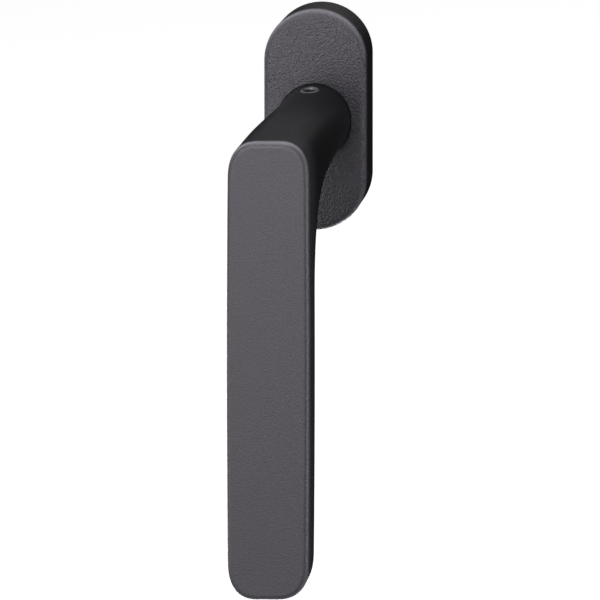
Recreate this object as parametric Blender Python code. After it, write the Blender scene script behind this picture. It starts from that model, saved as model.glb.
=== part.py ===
"""A tilt and turn window handle: rosette, grip, square spindle, detent and fixings.

The frame is that of the library. The origin lies on the spindle axis in the mounting
plane, +Z is up and the handle points along -Y, away from the window. Depths named
"reach" are distances in front of the window, so a reach of 5 mm is y = -5 mm.
"""

import math

import bmesh
import bpy
import numpy as np
from mathutils import Matrix, Vector

MM = 0.001
ROUND = 48  # facets of the large circles; a multiple of 4, so they match after a quarter turn
SMALL = 24  # facets of the small circles

# Rosette
COVER_W, COVER_H = 33.0, 71.0
COVER_BACK, COVER_FRONT = 0.4, 10.0
COVER_WALL, COVER_FACE = 2.0, 1.6
COVER_EDGE = 2.2
COVER_HOLE_R = 12.0
BASE_W, BASE_H, BASE_FRONT = 28.4, 66.4, 7.4
PLATE_W, PLATE_H, PLATE_T = 25.0, 63.0, 0.8
PLATE_HOLE_R = 8.0
CAVITY_X, CAVITY_Z, CAVITY_FRONT = 11.3, 10.6, 4.6
SCREW_Z = 21.5
RIVET_X, RIVET_Z = 10.0, 14.6

# Bearing and detent
JOURNAL_R, BUSH_R, BUSH_FLANGE_R = 7.0, 9.0, 10.8
RECESS_R, RECESS_BACK = 11.3, 5.7
SLEEVE_BACK, SLEEVE_FRONT = 0.3, 30.0
KEY_HALF = 6.5
CAM_HALF, CAM_R = 8.2, 10.3
CAM_BACK, CAM_FRONT = 1.95, 4.35
RING_BACK, RING_FRONT, RING_R = 0.95, 1.75, 9.0
SPRING_X, SPRING_T, SPRING_HALF = 8.35, 0.6, 11.5

# Spindle and fixings
SQUARE = 7.0
SPINDLE_BACK, SPINDLE_FRONT = -32.0, 26.5
SCREW_TIP, SCREW_R, SCREW_HEAD_R = -28.5, 2.45, 4.7
LUG_BACK, LUG_FRONT, LUG_R, LUG_FLANGE_R = -3.5, 2.2, 5.0, 6.0
SET_SCREW_REACH, SET_SCREW_R = 15.0, 2.9

# Grip
NECK_R, NECK_BACK = 11.7, 7.6
GRIP_TOP, GRIP_BOTTOM = 11.45, -125.9
GRIP_FRONT, GRIP_T = 61.9, 12.85
GRIP_HALF_MID, GRIP_HALF_END = 12.55, 12.15
CORNER_X, CORNER_Z, CORNER_POWER = 9.5, 11.5, 2.5
FRONT_EDGE, BACK_ROUND = 1.6, 7.6
BLEND_START, BLEND_END = 14.0, 50.0
FAN_REACH, FAN_Z = 26.0, -38.0
FILLET = ((24.5, -11.7), (36.7, -11.7), (49.05, -5.0), (49.05, -35.0))
CORE_X, CORE_T, CORE_MID, CORE_BOTTOM = 4.0, 5.0, 55.6, -112.0

PARTS = "tilt_turn_window_handle"


# ---------------------------------------------------------------- scene and materials


def clear_scene():
    """Removes the startup objects and makes the two collections."""
    for obj in list(bpy.data.objects):
        bpy.data.objects.remove(obj, do_unlink=True)
    for name in (PARTS, "cutters"):
        collection = bpy.data.collections.new(name)
        bpy.context.scene.collection.children.link(collection)
    bpy.data.collections["cutters"].hide_render = True


def finish(name, colour, metallic, roughness):
    """One Principled material."""
    material = bpy.data.materials.new(name)
    material.use_nodes = True
    shader = material.node_tree.nodes["Principled BSDF"]
    shader.inputs["Base Color"].default_value = (*colour, 1.0)
    shader.inputs["Metallic"].default_value = metallic
    shader.inputs["Roughness"].default_value = roughness
    return material


def make_finishes():
    """The finishes of the handle, by name."""
    return {
        "polyamide": finish("polyamide", (0.085, 0.083, 0.092), 0.0, 0.5),
        "base_polymer": finish("base_polymer", (0.03, 0.03, 0.032), 0.0, 0.6),
        "zinc_steel": finish("zinc_steel", (0.60, 0.61, 0.62), 1.0, 0.35),
        "spring_steel": finish("spring_steel", (0.38, 0.37, 0.36), 1.0, 0.3),
        "black_steel": finish("black_steel", (0.05, 0.05, 0.055), 1.0, 0.45),
        "bronze": finish("bronze", (0.62, 0.43, 0.22), 1.0, 0.4),
        "acetal": finish("acetal", (0.72, 0.71, 0.66), 0.0, 0.4),
        "cast_zinc": finish("cast_zinc", (0.52, 0.53, 0.55), 1.0, 0.5),
    }


def place(name, bm, material=None, cutter=False):
    """Turns a bmesh in millimetres into a named object in metres."""
    bmesh.ops.remove_doubles(bm, verts=bm.verts, dist=1e-4)
    bmesh.ops.recalc_face_normals(bm, faces=bm.faces)
    bmesh.ops.scale(bm, vec=(MM, MM, MM), verts=bm.verts)
    mesh = bpy.data.meshes.new(name)
    bm.to_mesh(mesh)
    bm.free()
    obj = bpy.data.objects.new(name, mesh)
    if material:
        mesh.materials.append(material)
    bpy.data.collections["cutters" if cutter else PARTS].objects.link(obj)
    if cutter:
        obj.hide_render = True
        obj.display_type = "WIRE"
    return obj


def combine(target, other, operation):
    """Adds an exact Boolean to target. The other object is a cutter."""
    modifier = target.modifiers.new(f"{operation.lower()} {other.name}", "BOOLEAN")
    modifier.operation = operation
    modifier.solver = "EXACT"
    modifier.object = other


def cut(target, *cutters):
    for other in cutters:
        combine(target, other, "DIFFERENCE")


# ---------------------------------------------------------------- shapes


def stadium(width, height, steps=ROUND // 2):
    """Outline of an upright stadium in x and z."""
    radius, rise = width / 2, (height - width) / 2
    points = []
    for start, centre in ((0.0, rise), (math.pi, -rise)):
        for i in range(steps + 1):
            turn = start + math.pi * i / steps
            points.append((radius * math.cos(turn), centre + radius * math.sin(turn)))
    return points


def rectangle(x0, x1, z0, z1):
    return [(x0, z0), (x1, z0), (x1, z1), (x0, z1)]


def prism(outline, back, front):
    """The outline in x and z, extruded from reach back to reach front."""
    bm = bmesh.new()
    face = bm.faces.new([bm.verts.new((x, -back, z)) for x, z in outline])
    grown = bmesh.ops.extrude_face_region(bm, geom=[face])["geom"]
    moved = [item for item in grown if isinstance(item, bmesh.types.BMVert)]
    bmesh.ops.translate(bm, verts=moved, vec=(0, back - front, 0))
    return bm


def side_prism(outline, half_width, x=0.0):
    """The outline in reach and z, extruded both ways along x."""
    bm = bmesh.new()
    face = bm.faces.new([bm.verts.new((x - half_width, -u, z)) for u, z in outline])
    grown = bmesh.ops.extrude_face_region(bm, geom=[face])["geom"]
    moved = [item for item in grown if isinstance(item, bmesh.types.BMVert)]
    bmesh.ops.translate(bm, verts=moved, vec=(2 * half_width, 0, 0))
    return bm


def lathe(profile, x=0.0, z=0.0, steps=ROUND):
    """A closed profile of (radius, reach) points spun about the line along Y at x, z."""
    bm = bmesh.new()
    rim = [bm.verts.new((x + radius, -reach, z)) for radius, reach in profile]
    edges = [bm.edges.new((a, b)) for a, b in zip(rim, rim[1:] + rim[:1])]
    bmesh.ops.spin(
        bm,
        geom=rim + edges,
        cent=(x, 0, z),
        axis=(0, 1, 0),
        angle=math.tau,
        steps=steps,
        use_merge=True,
    )
    bmesh.ops.remove_doubles(bm, verts=bm.verts, dist=1e-4)
    bmesh.ops.dissolve_degenerate(bm, dist=1e-4, edges=bm.edges)
    lone = [face for face in bm.faces if face.calc_area() < 1e-9]
    bmesh.ops.delete(bm, geom=lone, context="FACES")
    return bm


def rod(radius, back, front, x=0.0, z=0.0, steps=ROUND):
    """A solid cylinder along Y, with its first facet edge at +x."""
    outline = [
        (x + radius * math.cos(math.tau * i / steps), z + radius * math.sin(math.tau * i / steps))
        for i in range(steps)
    ]
    return prism(outline, back, front)


def cone(radii, reaches, x=0.0, z=0.0, steps=SMALL):
    """A cone frustum along Y, from the back radius and reach to the front ones."""
    bm = bmesh.new()
    middle = -sum(reaches) / 2
    matrix = Matrix.Translation((x, middle, z)) @ Matrix.Rotation(math.pi / 2, 4, "X")
    bmesh.ops.create_cone(
        bm,
        cap_ends=True,
        segments=steps,
        radius1=radii[0],
        radius2=radii[1],
        depth=reaches[1] - reaches[0],
        matrix=matrix,
    )
    return bm


def upright(radius, bottom, top, reach, steps=SMALL):
    """A cylinder along Z."""
    bm = bmesh.new()
    bmesh.ops.create_cone(
        bm,
        cap_ends=True,
        segments=steps,
        radius1=radius,
        radius2=radius,
        depth=top - bottom,
        matrix=Matrix.Translation((0, -reach, (top + bottom) / 2)),
    )
    return bm


def soften(bm, chosen, offset, segments=1):
    """Bevels the edges that chosen(edge) picks."""
    edges = [edge for edge in bm.edges if chosen(edge)]
    bmesh.ops.bevel(
        bm, geom=edges, offset=offset, segments=segments, profile=0.5, affect="EDGES"
    )


def rim_at(reach):
    """Picks the edges that lie in the plane at this reach."""
    return lambda edge: all(abs(v.co.y + reach) < 1e-4 for v in edge.verts)


def band(path, thickness):
    """Outline of a strip of this thickness that follows the path."""
    sides = ([], [])
    for i, point in enumerate(path):
        before = Vector(path[max(i - 1, 0)])
        after = Vector(path[min(i + 1, len(path) - 1)])
        here = Vector(point)
        into = (here - before).normalized() if i else (after - here).normalized()
        out = (after - here).normalized() if i < len(path) - 1 else into
        across = Vector((-into.y - out.y, into.x + out.x)).normalized()
        stretch = thickness / 2 / max(0.3, across.dot(Vector((-into.y, into.x))))
        sides[0].append(tuple(here + across * stretch))
        sides[1].append(tuple(here - across * stretch))
    return sides[0] + sides[1][::-1]


# ---------------------------------------------------------------- rosette


def base_plate(look):
    """The moulded body behind the cover, with the chamber for the detent."""
    bm = prism(stadium(BASE_W, BASE_H), 0.0, BASE_FRONT)
    soften(bm, rim_at(BASE_FRONT), 0.5)
    base = place("base_plate", bm, look["base_polymer"])

    def cutter(name, shape):
        cut(base, place(f"base_cut_{name}", shape, cutter=True))

    cutter("plate", prism(stadium(PLATE_W + 0.4, PLATE_H + 0.4), -1.0, PLATE_T + 0.15))
    cutter("chamber", prism(rectangle(-CAVITY_X, CAVITY_X, -CAVITY_Z, CAVITY_Z), -0.5, CAVITY_FRONT))
    for side in (-1, 1):
        ends = sorted((side * (SPRING_X - 0.2), side * (SPRING_X + SPRING_T + 0.2)))
        slot = rectangle(*ends, -SPRING_HALF - 0.3, SPRING_HALF + 0.3)
        cutter(f"slot_{side}", prism(slot, -0.4, CAM_FRONT + 0.1))
    cutter("bearing", rod(BUSH_R + 0.15, -0.3, BASE_FRONT + 1))
    cutter("recess", rod(RECESS_R, RECESS_BACK, BASE_FRONT + 1.2))
    for side in (-1, 1):
        z = side * SCREW_Z
        cutter(f"lug_{side}", rod(LUG_FLANGE_R + 0.1, -0.2, LUG_FRONT + 0.15, z=z, steps=SMALL))
        cutter(f"bore_{side}", rod(2.8, -0.1, BASE_FRONT + 1.4, z=z, steps=SMALL))
        cutter(f"sink_{side}", cone((2.9, 5.4), (5.05, 7.55), z=z))
        notch = [(1.2, side * 30.4), (1.2, side * 35.0), (6.0, side * 35.0), (6.0, side * 30.4)]
        cutter(f"notch_{side}", side_prism(notch, 3.6))
    for i, (x, z) in enumerate(rivet_spots()):
        cutter(f"rivet_{i}", rod(1.35, -0.15, BASE_FRONT + 1.6, x, z, SMALL))
        cutter(f"rivet_seat_{i}", rod(2.4, 6.6, BASE_FRONT + 1.8, x, z, SMALL))
    return base


def rivet_spots():
    return [(sx * RIVET_X, sz * RIVET_Z) for sz in (1, -1) for sx in (-1, 1)]


def back_plate(look):
    """The steel plate that closes the chamber and takes the pull of the screws."""
    plate = place(
        "back_plate", prism(stadium(PLATE_W, PLATE_H), 0.0, PLATE_T), look["zinc_steel"]
    )
    cut(plate, place("plate_cut_centre", rod(PLATE_HOLE_R, -1, 2), cutter=True))
    for side in (-1, 1):
        hole = rod(LUG_R + 0.2, -1.1, 2.1, z=side * SCREW_Z, steps=SMALL)
        cut(plate, place(f"plate_cut_lug_{side}", hole, cutter=True))
    for i, (x, z) in enumerate(rivet_spots()):
        cut(plate, place(f"plate_cut_rivet_{i}", rod(1.35, -1.2, 2.2, x, z, SMALL), cutter=True))
    return plate


def rivets(look):
    """Four rivets, headed in the front of the base and flush with the plate."""
    profile = [(0, 0.05), (1.2, 0.05), (1.2, 6.7), (2.1, 6.7), (2.1, 6.95), (1.7, 7.25), (0, 7.25)]
    for i, (x, z) in enumerate(rivet_spots(), 1):
        place(f"rivet_{i}", lathe(profile, x, z, SMALL), look["cast_zinc"])


def lugs(look):
    """Two flanged bushes that sit in the holes of the sash."""
    flange = LUG_FRONT - 1.2
    profile = [
        (2.7, LUG_BACK + 0.3),
        (3.0, LUG_BACK),
        (LUG_R - 0.4, LUG_BACK),
        (LUG_R, LUG_BACK + 0.4),
        (LUG_R, flange),
        (LUG_FLANGE_R, flange),
        (LUG_FLANGE_R, LUG_FRONT),
        (2.7, LUG_FRONT),
    ]
    for name, side in (("upper", 1), ("lower", -1)):
        place(f"lug_{name}", lathe(profile, z=side * SCREW_Z, steps=SMALL), look["cast_zinc"])


def screws(look):
    """Two countersunk screws, each with a cross recess."""
    profile = [
        (0, SCREW_TIP),
        (1.7, SCREW_TIP),
        (SCREW_R, SCREW_TIP + 1.2),
        (SCREW_R, 4.95),
        (SCREW_HEAD_R, 7.0),
        (SCREW_HEAD_R, 7.25),
        (0, 7.25),
    ]
    for name, side in (("upper", 1), ("lower", -1)):
        z = side * SCREW_Z
        screw = place(f"screw_{name}", lathe(profile, z=z, steps=SMALL), look["zinc_steel"])
        for arm, (x, y) in enumerate(((2.3, 0.5), (0.5, 2.3))):
            slot = prism(rectangle(-x, x, z - y, z + y), 5.2 + 0.1 * arm, 8.0)
            cut(screw, place(f"screw_cut_{name}_{arm}", slot, cutter=True))


def bearing(look):
    """The flanged bush in the base and the washer on it."""
    inner = JOURNAL_R + 0.1
    bush = [
        (inner, CAM_FRONT + 0.25),
        (BUSH_R, CAM_FRONT + 0.25),
        (BUSH_R, RECESS_BACK + 0.15),
        (BUSH_FLANGE_R, RECESS_BACK + 0.15),
        (BUSH_FLANGE_R, 6.5),
        (inner, 6.5),
    ]
    place("bearing_bush", lathe(bush), look["bronze"])
    washer = [(JOURNAL_R + 0.2, 6.65), (10.9, 6.65), (10.9, 7.45), (JOURNAL_R + 0.2, 7.45)]
    place("thrust_washer", lathe(washer), look["acetal"])


def detent(look):
    """The square cam, the ring that holds the sleeve, and the two leaf springs."""
    cam = place("detent_cam", rod(CAM_R, CAM_BACK, CAM_FRONT), look["acetal"])
    square = rectangle(-CAM_HALF, CAM_HALF, -CAM_HALF, CAM_HALF)
    combine(cam, place("cam_square", prism(square, 1.0, 5.0), cutter=True), "INTERSECT")
    bore = place("cam_bore", rod(JOURNAL_R + 0.1, 0.5, 5.5), cutter=True)
    flats = rectangle(-9, 9, -KEY_HALF - 0.1, KEY_HALF + 0.1)
    combine(bore, place("cam_flats", prism(flats, 0.0, 6.0), cutter=True), "INTERSECT")
    cut(cam, bore)

    profile = [(6.62, RING_BACK), (RING_R, RING_BACK), (RING_R, RING_FRONT), (6.62, RING_FRONT)]
    ring = place("retaining_ring", lathe(profile), look["spring_steel"])
    gap = rectangle(-2.0, 2.0, -10.0, -5.0)
    cut(ring, place("ring_gap", prism(gap, 0.5, 2.5), cutter=True))
    for side in (-1, 1):
        hole = rod(0.6, 0.4, 2.6, side * 3.3, -7.25, 16)
        cut(ring, place(f"ring_hole_{side}", hole, cutter=True))

    for name, side in (("left", -1), ("right", 1)):
        near, far = side * SPRING_X, side * (SPRING_X + SPRING_T)
        path = [((near + far) / 2, z) for z in (-SPRING_HALF, 0.0, SPRING_HALF)]
        strip = prism(band(path, SPRING_T), CAM_BACK + 0.1, CAM_FRONT - 0.05)
        place(f"detent_spring_{name}", strip, look["spring_steel"])


def cover(look):
    """The cap over the base."""
    bm = prism(stadium(COVER_W, COVER_H), COVER_BACK, COVER_FRONT)
    soften(bm, rim_at(COVER_FRONT), COVER_EDGE, 6)
    soften(bm, rim_at(COVER_BACK), 0.25)
    cap = place("cover", bm, look["polyamide"])
    inside = prism(
        stadium(COVER_W - 2 * COVER_WALL, COVER_H - 2 * COVER_WALL), -1.0, COVER_FRONT - COVER_FACE
    )
    soften(inside, rim_at(COVER_FRONT - COVER_FACE), 0.5)
    cut(cap, place("cover_inside", inside, cutter=True))
    cut(cap, place("cover_hole", rod(COVER_HOLE_R, 5, 12), cutter=True))

    profile = [(12.1, 7.7), (14.2, 7.7), (14.2, 8.25), (12.1, 8.25)]
    place("cover_guide_ring", lathe(profile), look["acetal"])


def cover_clips(look):
    """Two bent strips at the ends of the base that grip the cover from inside."""
    shape = [(5.4, 30.9), (1.8, 30.9), (1.6, 31.5), (2.2, 32.2), (3.6, 32.95), (5.2, 32.3)]
    for name, side in (("upper", 1), ("lower", -1)):
        path = [(reach, side * z) for reach, z in shape]
        place(f"cover_clip_{name}", side_prism(band(path, 0.4), 3.0), look["spring_steel"])


# ---------------------------------------------------------------- lever


def fade(start, end, value):
    """Smooth step from 0 at start to 1 at end."""
    t = np.clip((value - start) / (end - start), 0.0, 1.0)
    return t * t * (3.0 - 2.0 * t)


def rounded(a, b, radius_a, radius_b, power=2.0):
    """Joins two limits, each negative inside, with a rounded corner between them."""
    bend_a = np.maximum(a / radius_a + 1.0, 0.0)
    bend_b = np.maximum(b / radius_b + 1.0, 0.0)
    arc = (bend_a**power + bend_b**power) ** (1.0 / power) - 1.0
    near = (a > -radius_a) & (b > -radius_b)
    return np.where(near, arc * np.minimum(radius_a, radius_b), np.maximum(a, b))


def fillet_points(count=400):
    """The curve under the neck, as points of (reach, z)."""
    t = np.linspace(0.0, 1.0, count)[:, None]
    a, b, c, d = (np.array(point) for point in FILLET)
    return (1 - t) ** 3 * a + 3 * (1 - t) ** 2 * t * b + 3 * (1 - t) * t**2 * c + t**3 * d


def fan_angles():
    """Angles of the fan in degrees, close together where the front edge turns."""
    runs = ((90, 61, 10), (58.5, 55.5, 4), (55, 51.8, 9), (51, 44, 7), (42, 0, 12))
    return np.concatenate([np.linspace(*run) for run in runs])


def level_heights():
    """Heights of the flat sections, close together round the lower corners."""
    bend = np.sin(np.linspace(0.0, math.pi / 2, 15))
    straight = np.linspace(FAN_Z, GRIP_BOTTOM + CORNER_Z, 7)[1:-1]
    return np.concatenate([straight, GRIP_BOTTOM + CORNER_Z - (CORNER_Z - 0.03) * bend])


def stations():
    """Section planes from the rosette to the grip's end: origin, direction, inner limit.

    They stand upright through the neck, fan out round the bend, and lie flat below it.
    """
    curve = fillet_points()
    hub = np.array((FAN_REACH, FAN_Z))
    found = []
    for reach in np.linspace(NECK_BACK, FAN_REACH - 1.5, 7):
        low = np.interp(reach, curve[:, 0], curve[:, 1], left=-NECK_R)
        found.append((np.array((reach, 0.0)), np.array((0.0, 1.0)), low))
    angles = np.arctan2(curve[:, 1] - hub[1], curve[:, 0] - hub[0])
    radii = np.hypot(curve[:, 0] - hub[0], curve[:, 1] - hub[1])
    for angle in np.radians(fan_angles()):
        low = np.interp(angle, angles[::-1], radii[::-1])
        found.append((hub, np.array((math.cos(angle), math.sin(angle))), low))
    for z in level_heights():
        low = GRIP_FRONT - GRIP_T - FAN_REACH
        found.append((np.array((FAN_REACH, z)), np.array((1.0, 0.0)), low))
    return found


def outer_limit(x, reach, z, blend):
    """Negative inside the top, sides, bottom and front of the lever."""
    share = np.clip((z - GRIP_BOTTOM) / (GRIP_TOP - GRIP_BOTTOM), 0.0, 1.0)
    bar = GRIP_HALF_MID - (GRIP_HALF_MID - GRIP_HALF_END) * (2.0 * share - 1.0) ** 2
    side = np.abs(x) - (NECK_R + (bar - NECK_R) * blend)
    top = z - (NECK_R + (GRIP_TOP - NECK_R) * blend)
    radius_x = NECK_R + (CORNER_X - NECK_R) * blend
    radius_z = NECK_R + (CORNER_Z - NECK_R) * blend
    power = 2.0 + (CORNER_POWER - 2.0) * blend
    upper = rounded(side, top, radius_x, radius_z, power)
    lower = rounded(side, GRIP_BOTTOM - z, CORNER_X, CORNER_Z, CORNER_POWER)
    outline = np.maximum(upper, lower)
    return rounded(outline, reach - GRIP_FRONT, FRONT_EDGE, FRONT_EDGE), np.maximum(side, lower)


def lever_limit(x, v, station):
    """Negative inside the lever, for points at x across and v along the station."""
    origin, along, low = station
    reach, z = origin[0] + along[0] * v, origin[1] + along[1] * v
    blend = fade(BLEND_START, BLEND_END, reach)
    outer, side = outer_limit(x, reach, z, blend)
    radius = NECK_R + (BACK_ROUND - NECK_R) * blend
    return np.maximum(outer, rounded(side, low - v, radius, radius))


def gather(points, count):
    """Picks count + 1 points of an open run, more of them where it turns."""
    steps = np.diff(points, axis=0)
    length = np.hypot(*steps.T)
    heading = np.unwrap(np.arctan2(steps[:, 1], steps[:, 0]))
    turning = np.append(np.abs(np.diff(heading)), 0.0)
    weight = length / length.sum() + turning / turning.sum()
    place_on = np.concatenate([[0.0], np.cumsum(weight)])
    wanted = np.linspace(0.0, place_on[-1], count + 1)
    return np.stack([np.interp(wanted, place_on, column) for column in points.T], axis=1)


def section(station, count, rays=160):
    """The ring of points where the station's plane meets the lever's surface."""
    origin, along, low = station
    scan = np.linspace(low - 0.5, low + 75.0, 1600)
    inside = scan[lever_limit(np.zeros_like(scan), scan, station) < 0.0]
    middle = (inside[0] + inside[-1]) / 2
    angles = np.linspace(-math.pi / 2, math.pi / 2, rays + 1)
    near, far = np.zeros(rays + 1), np.full(rays + 1, 45.0)
    for _ in range(26):
        reach = (near + far) / 2
        value = lever_limit(np.cos(angles) * reach, middle + np.sin(angles) * reach, station)
        near, far = np.where(value < 0, reach, near), np.where(value < 0, far, reach)
    half = np.stack([np.cos(angles) * near, np.sin(angles) * near], axis=1)
    runs = [gather(run, count // 4) for run in (half[: rays // 2 + 1], half[rays // 2 :])]
    right = np.concatenate([runs[0][:-1], runs[1]])
    ring = np.concatenate([right, right[-2:0:-1] * (-1, 1)])
    x, v = ring[:, 0], middle + ring[:, 1]
    return np.stack([x, -(origin[0] + along[0] * v), origin[1] + along[1] * v], axis=1)


def lever_surface(count=40):
    """The loft from the neck's round end to the grip's flat end."""
    bm = bmesh.new()
    rings = [[bm.verts.new(point) for point in section(station, count)] for station in stations()]
    for one, two in zip(rings, rings[1:]):
        for i in range(count):
            j = (i + 1) % count
            bm.faces.new((one[i], one[j], two[j], two[i]))
    bm.faces.new(rings[0])
    bm.faces.new(rings[-1])
    return bm


def core_path(grow):
    """Side outline of the bent core, larger by grow on every side."""
    half = CORE_T / 2 + grow
    outer, inner = CORE_MID + half, CORE_MID - half
    back = SLEEVE_FRONT + 0.3 - grow
    bend = 3.5 + grow
    points = [(back, -half), (inner, -half), (inner, CORE_BOTTOM - grow)]
    points += [(outer, CORE_BOTTOM - grow)]
    for i in range(7):
        turn = math.pi / 2 * i / 6
        points.append((outer - bend + bend * math.cos(turn), half - bend + bend * math.sin(turn)))
    return points + [(back, half)]


def lever(look):
    """Grip and neck in one moulding, over the steel core and the sleeve."""
    grip = place("grip", lever_surface(), look["polyamide"])
    cut(grip, place("grip_cut_neck", rod(JOURNAL_R + 0.15, 5.0, SLEEVE_FRONT + 0.2), cutter=True))
    channel = side_prism(core_path(0.15), CORE_X + 0.15)
    cut(grip, place("grip_cut_core", channel, cutter=True))
    hole = upright(SET_SCREW_R + 0.2, 2.0, 14.0, SET_SCREW_REACH)
    cut(grip, place("grip_cut_screw", hole, cutter=True))
    place("steel_core", side_prism(core_path(0.0), CORE_X), look["zinc_steel"])


def sleeve(look):
    """The journal, with a square bore, a ring groove and two flats for the cam."""
    profile = [
        (0, SLEEVE_BACK),
        (JOURNAL_R - 0.4, SLEEVE_BACK),
        (JOURNAL_R - 0.1, SLEEVE_BACK + 0.3),
        (JOURNAL_R - 0.1, RING_BACK - 0.1),
        (6.5, RING_BACK - 0.1),
        (6.5, RING_FRONT + 0.1),
        (JOURNAL_R, RING_FRONT + 0.1),
        (JOURNAL_R, SLEEVE_FRONT),
        (0, SLEEVE_FRONT),
    ]
    body = place("neck_sleeve", lathe(profile), look["zinc_steel"])
    half = SQUARE / 2 + 0.15
    bore = prism(rectangle(-half, half, -half, half), -1.0, SPINDLE_FRONT + 0.5)
    cut(body, place("sleeve_bore", bore, cutter=True))
    for side in (-1, 1):
        ends = sorted((side * KEY_HALF, side * 9.0))
        flat = prism(rectangle(-9.0, 9.0, *ends), CAM_BACK - 0.06, CAM_FRONT + 0.05)
        cut(body, place(f"sleeve_flat_{side}", flat, cutter=True))
    hole = upright(SET_SCREW_R + 0.1, 1.0, 9.0, SET_SCREW_REACH)
    cut(body, place("sleeve_screw_hole", hole, cutter=True))


def spindle(look):
    """The 7 mm square bar that turns the gear in the sash."""
    half = SQUARE / 2
    bm = prism(rectangle(-half, half, -half, half), SPINDLE_BACK, SPINDLE_FRONT)
    soften(bm, rim_at(SPINDLE_BACK), 0.8)
    place("spindle", bm, look["zinc_steel"])


def set_screw(look):
    """The socket screw that locks the spindle in the sleeve."""
    bottom, top = SQUARE / 2 + 0.15, 11.3
    bm = upright(SET_SCREW_R, bottom, top, SET_SCREW_REACH)
    soften(bm, lambda edge: all(abs(v.co.z - bottom) < 1e-4 for v in edge.verts), 0.5)
    screw = place("set_screw", bm, look["black_steel"])
    socket = upright(1.5 / math.cos(math.pi / 6), top - 2.6, top + 1.0, SET_SCREW_REACH, 6)
    cut(screw, place("set_screw_socket", socket, cutter=True))


def pivot(name, nodes):
    """An empty on the spindle axis that carries one moving body."""
    empty = bpy.data.objects.new(name, None)
    empty.empty_display_size = 0.01
    bpy.data.collections[PARTS].objects.link(empty)
    for node in nodes:
        bpy.data.objects[node].parent = empty


def main():
    clear_scene()
    look = make_finishes()
    for build in (base_plate, back_plate, rivets, lugs, screws, bearing, detent):
        build(look)
    for build in (cover, cover_clips, lever, sleeve, spindle, set_screw):
        build(look)
    pivot("cover_slide_axis", ("cover", "cover_guide_ring"))
    pivot(
        "handle_turn_axis",
        (
            "grip",
            "steel_core",
            "neck_sleeve",
            "set_screw",
            "spindle",
            "detent_cam",
            "retaining_ring",
            "thrust_washer",
        ),
    )


main()
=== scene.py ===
"""The visual model of a tilt and turn window handle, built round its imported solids.

Lengths are written in millimetres and turned into metres when a mesh is finished. A
point is (x, reach, z): x to the right as seen from the room, reach in front of the
window face, which is world -Y, and z upwards. The spindle axis is x = z = 0.
"""

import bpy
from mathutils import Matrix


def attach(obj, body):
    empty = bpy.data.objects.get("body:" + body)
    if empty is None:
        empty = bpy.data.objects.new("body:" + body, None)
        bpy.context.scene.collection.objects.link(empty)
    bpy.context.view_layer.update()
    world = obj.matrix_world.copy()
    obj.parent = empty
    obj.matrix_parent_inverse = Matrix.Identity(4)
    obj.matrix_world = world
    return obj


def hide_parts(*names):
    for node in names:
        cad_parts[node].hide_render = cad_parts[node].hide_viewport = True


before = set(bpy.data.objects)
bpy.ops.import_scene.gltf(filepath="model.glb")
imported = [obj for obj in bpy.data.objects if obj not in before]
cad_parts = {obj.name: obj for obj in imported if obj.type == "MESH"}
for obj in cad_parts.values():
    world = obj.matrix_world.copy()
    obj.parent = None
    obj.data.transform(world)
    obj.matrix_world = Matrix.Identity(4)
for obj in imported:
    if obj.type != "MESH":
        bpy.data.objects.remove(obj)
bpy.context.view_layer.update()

import logging
import math
from collections.abc import Callable, Iterable, Sequence
from dataclasses import dataclass, field
from enum import Enum

import bmesh
import bpy
import numpy as np
from mathutils import Matrix, Vector

MM = 0.001
MERGE = 1e-4
BASE, COVER, LEVER = "rosette_base", "cover", "lever"
# Mesh attribute for the paler tone: painted highlights along the front edges, painted light on the sides of
# the grip, and the paler lip of the set screw.
PAINTED_LIGHT_AND_LIP = "painted_light_and_lip"

Point = tuple[float, float]
Colour = tuple[float, float, float]

log = logging.getLogger("handle")


# ---------------------------------------------------------------- node trees


class Term:
    """One output socket that can be used in an arithmetic expression."""

    def __init__(self, tree: "Tree", socket: bpy.types.NodeSocket) -> None:
        """Wraps a socket.

        Args:
            tree: The tree that the socket belongs to.
            socket: The output socket.
        """
        self.tree = tree
        self.socket = socket

    def __add__(self, other: "Value") -> "Term":
        """This plus other."""
        return self.tree.math("ADD", self, other)

    def __radd__(self, other: "Value") -> "Term":
        """Other plus this."""
        return self.tree.math("ADD", other, self)

    def __sub__(self, other: "Value") -> "Term":
        """This minus other."""
        return self.tree.math("SUBTRACT", self, other)

    def __rsub__(self, other: "Value") -> "Term":
        """Other minus this."""
        return self.tree.math("SUBTRACT", other, self)

    def __mul__(self, other: "Value") -> "Term":
        """This times other."""
        return self.tree.math("MULTIPLY", self, other)

    def __rmul__(self, other: "Value") -> "Term":
        """Other times this."""
        return self.tree.math("MULTIPLY", other, self)

    def __truediv__(self, other: "Value") -> "Term":
        """This divided by other."""
        return self.tree.math("DIVIDE", self, other)

    def __rtruediv__(self, other: "Value") -> "Term":
        """Other divided by this."""
        return self.tree.math("DIVIDE", other, self)

    def __pow__(self, other: "Value") -> "Term":
        """This to the power of other."""
        return self.tree.math("POWER", self, other)

    def __rpow__(self, other: "Value") -> "Term":
        """Other to the power of this."""
        return self.tree.math("POWER", other, self)

    def __gt__(self, other: "Value") -> "Term":
        """One where this is greater than other, else zero."""
        return self.tree.math("GREATER_THAN", self, other)

    def __lt__(self, other: "Value") -> "Term":
        """One where this is less than other, else zero."""
        return self.tree.math("LESS_THAN", self, other)


Value = Term | float


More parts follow.
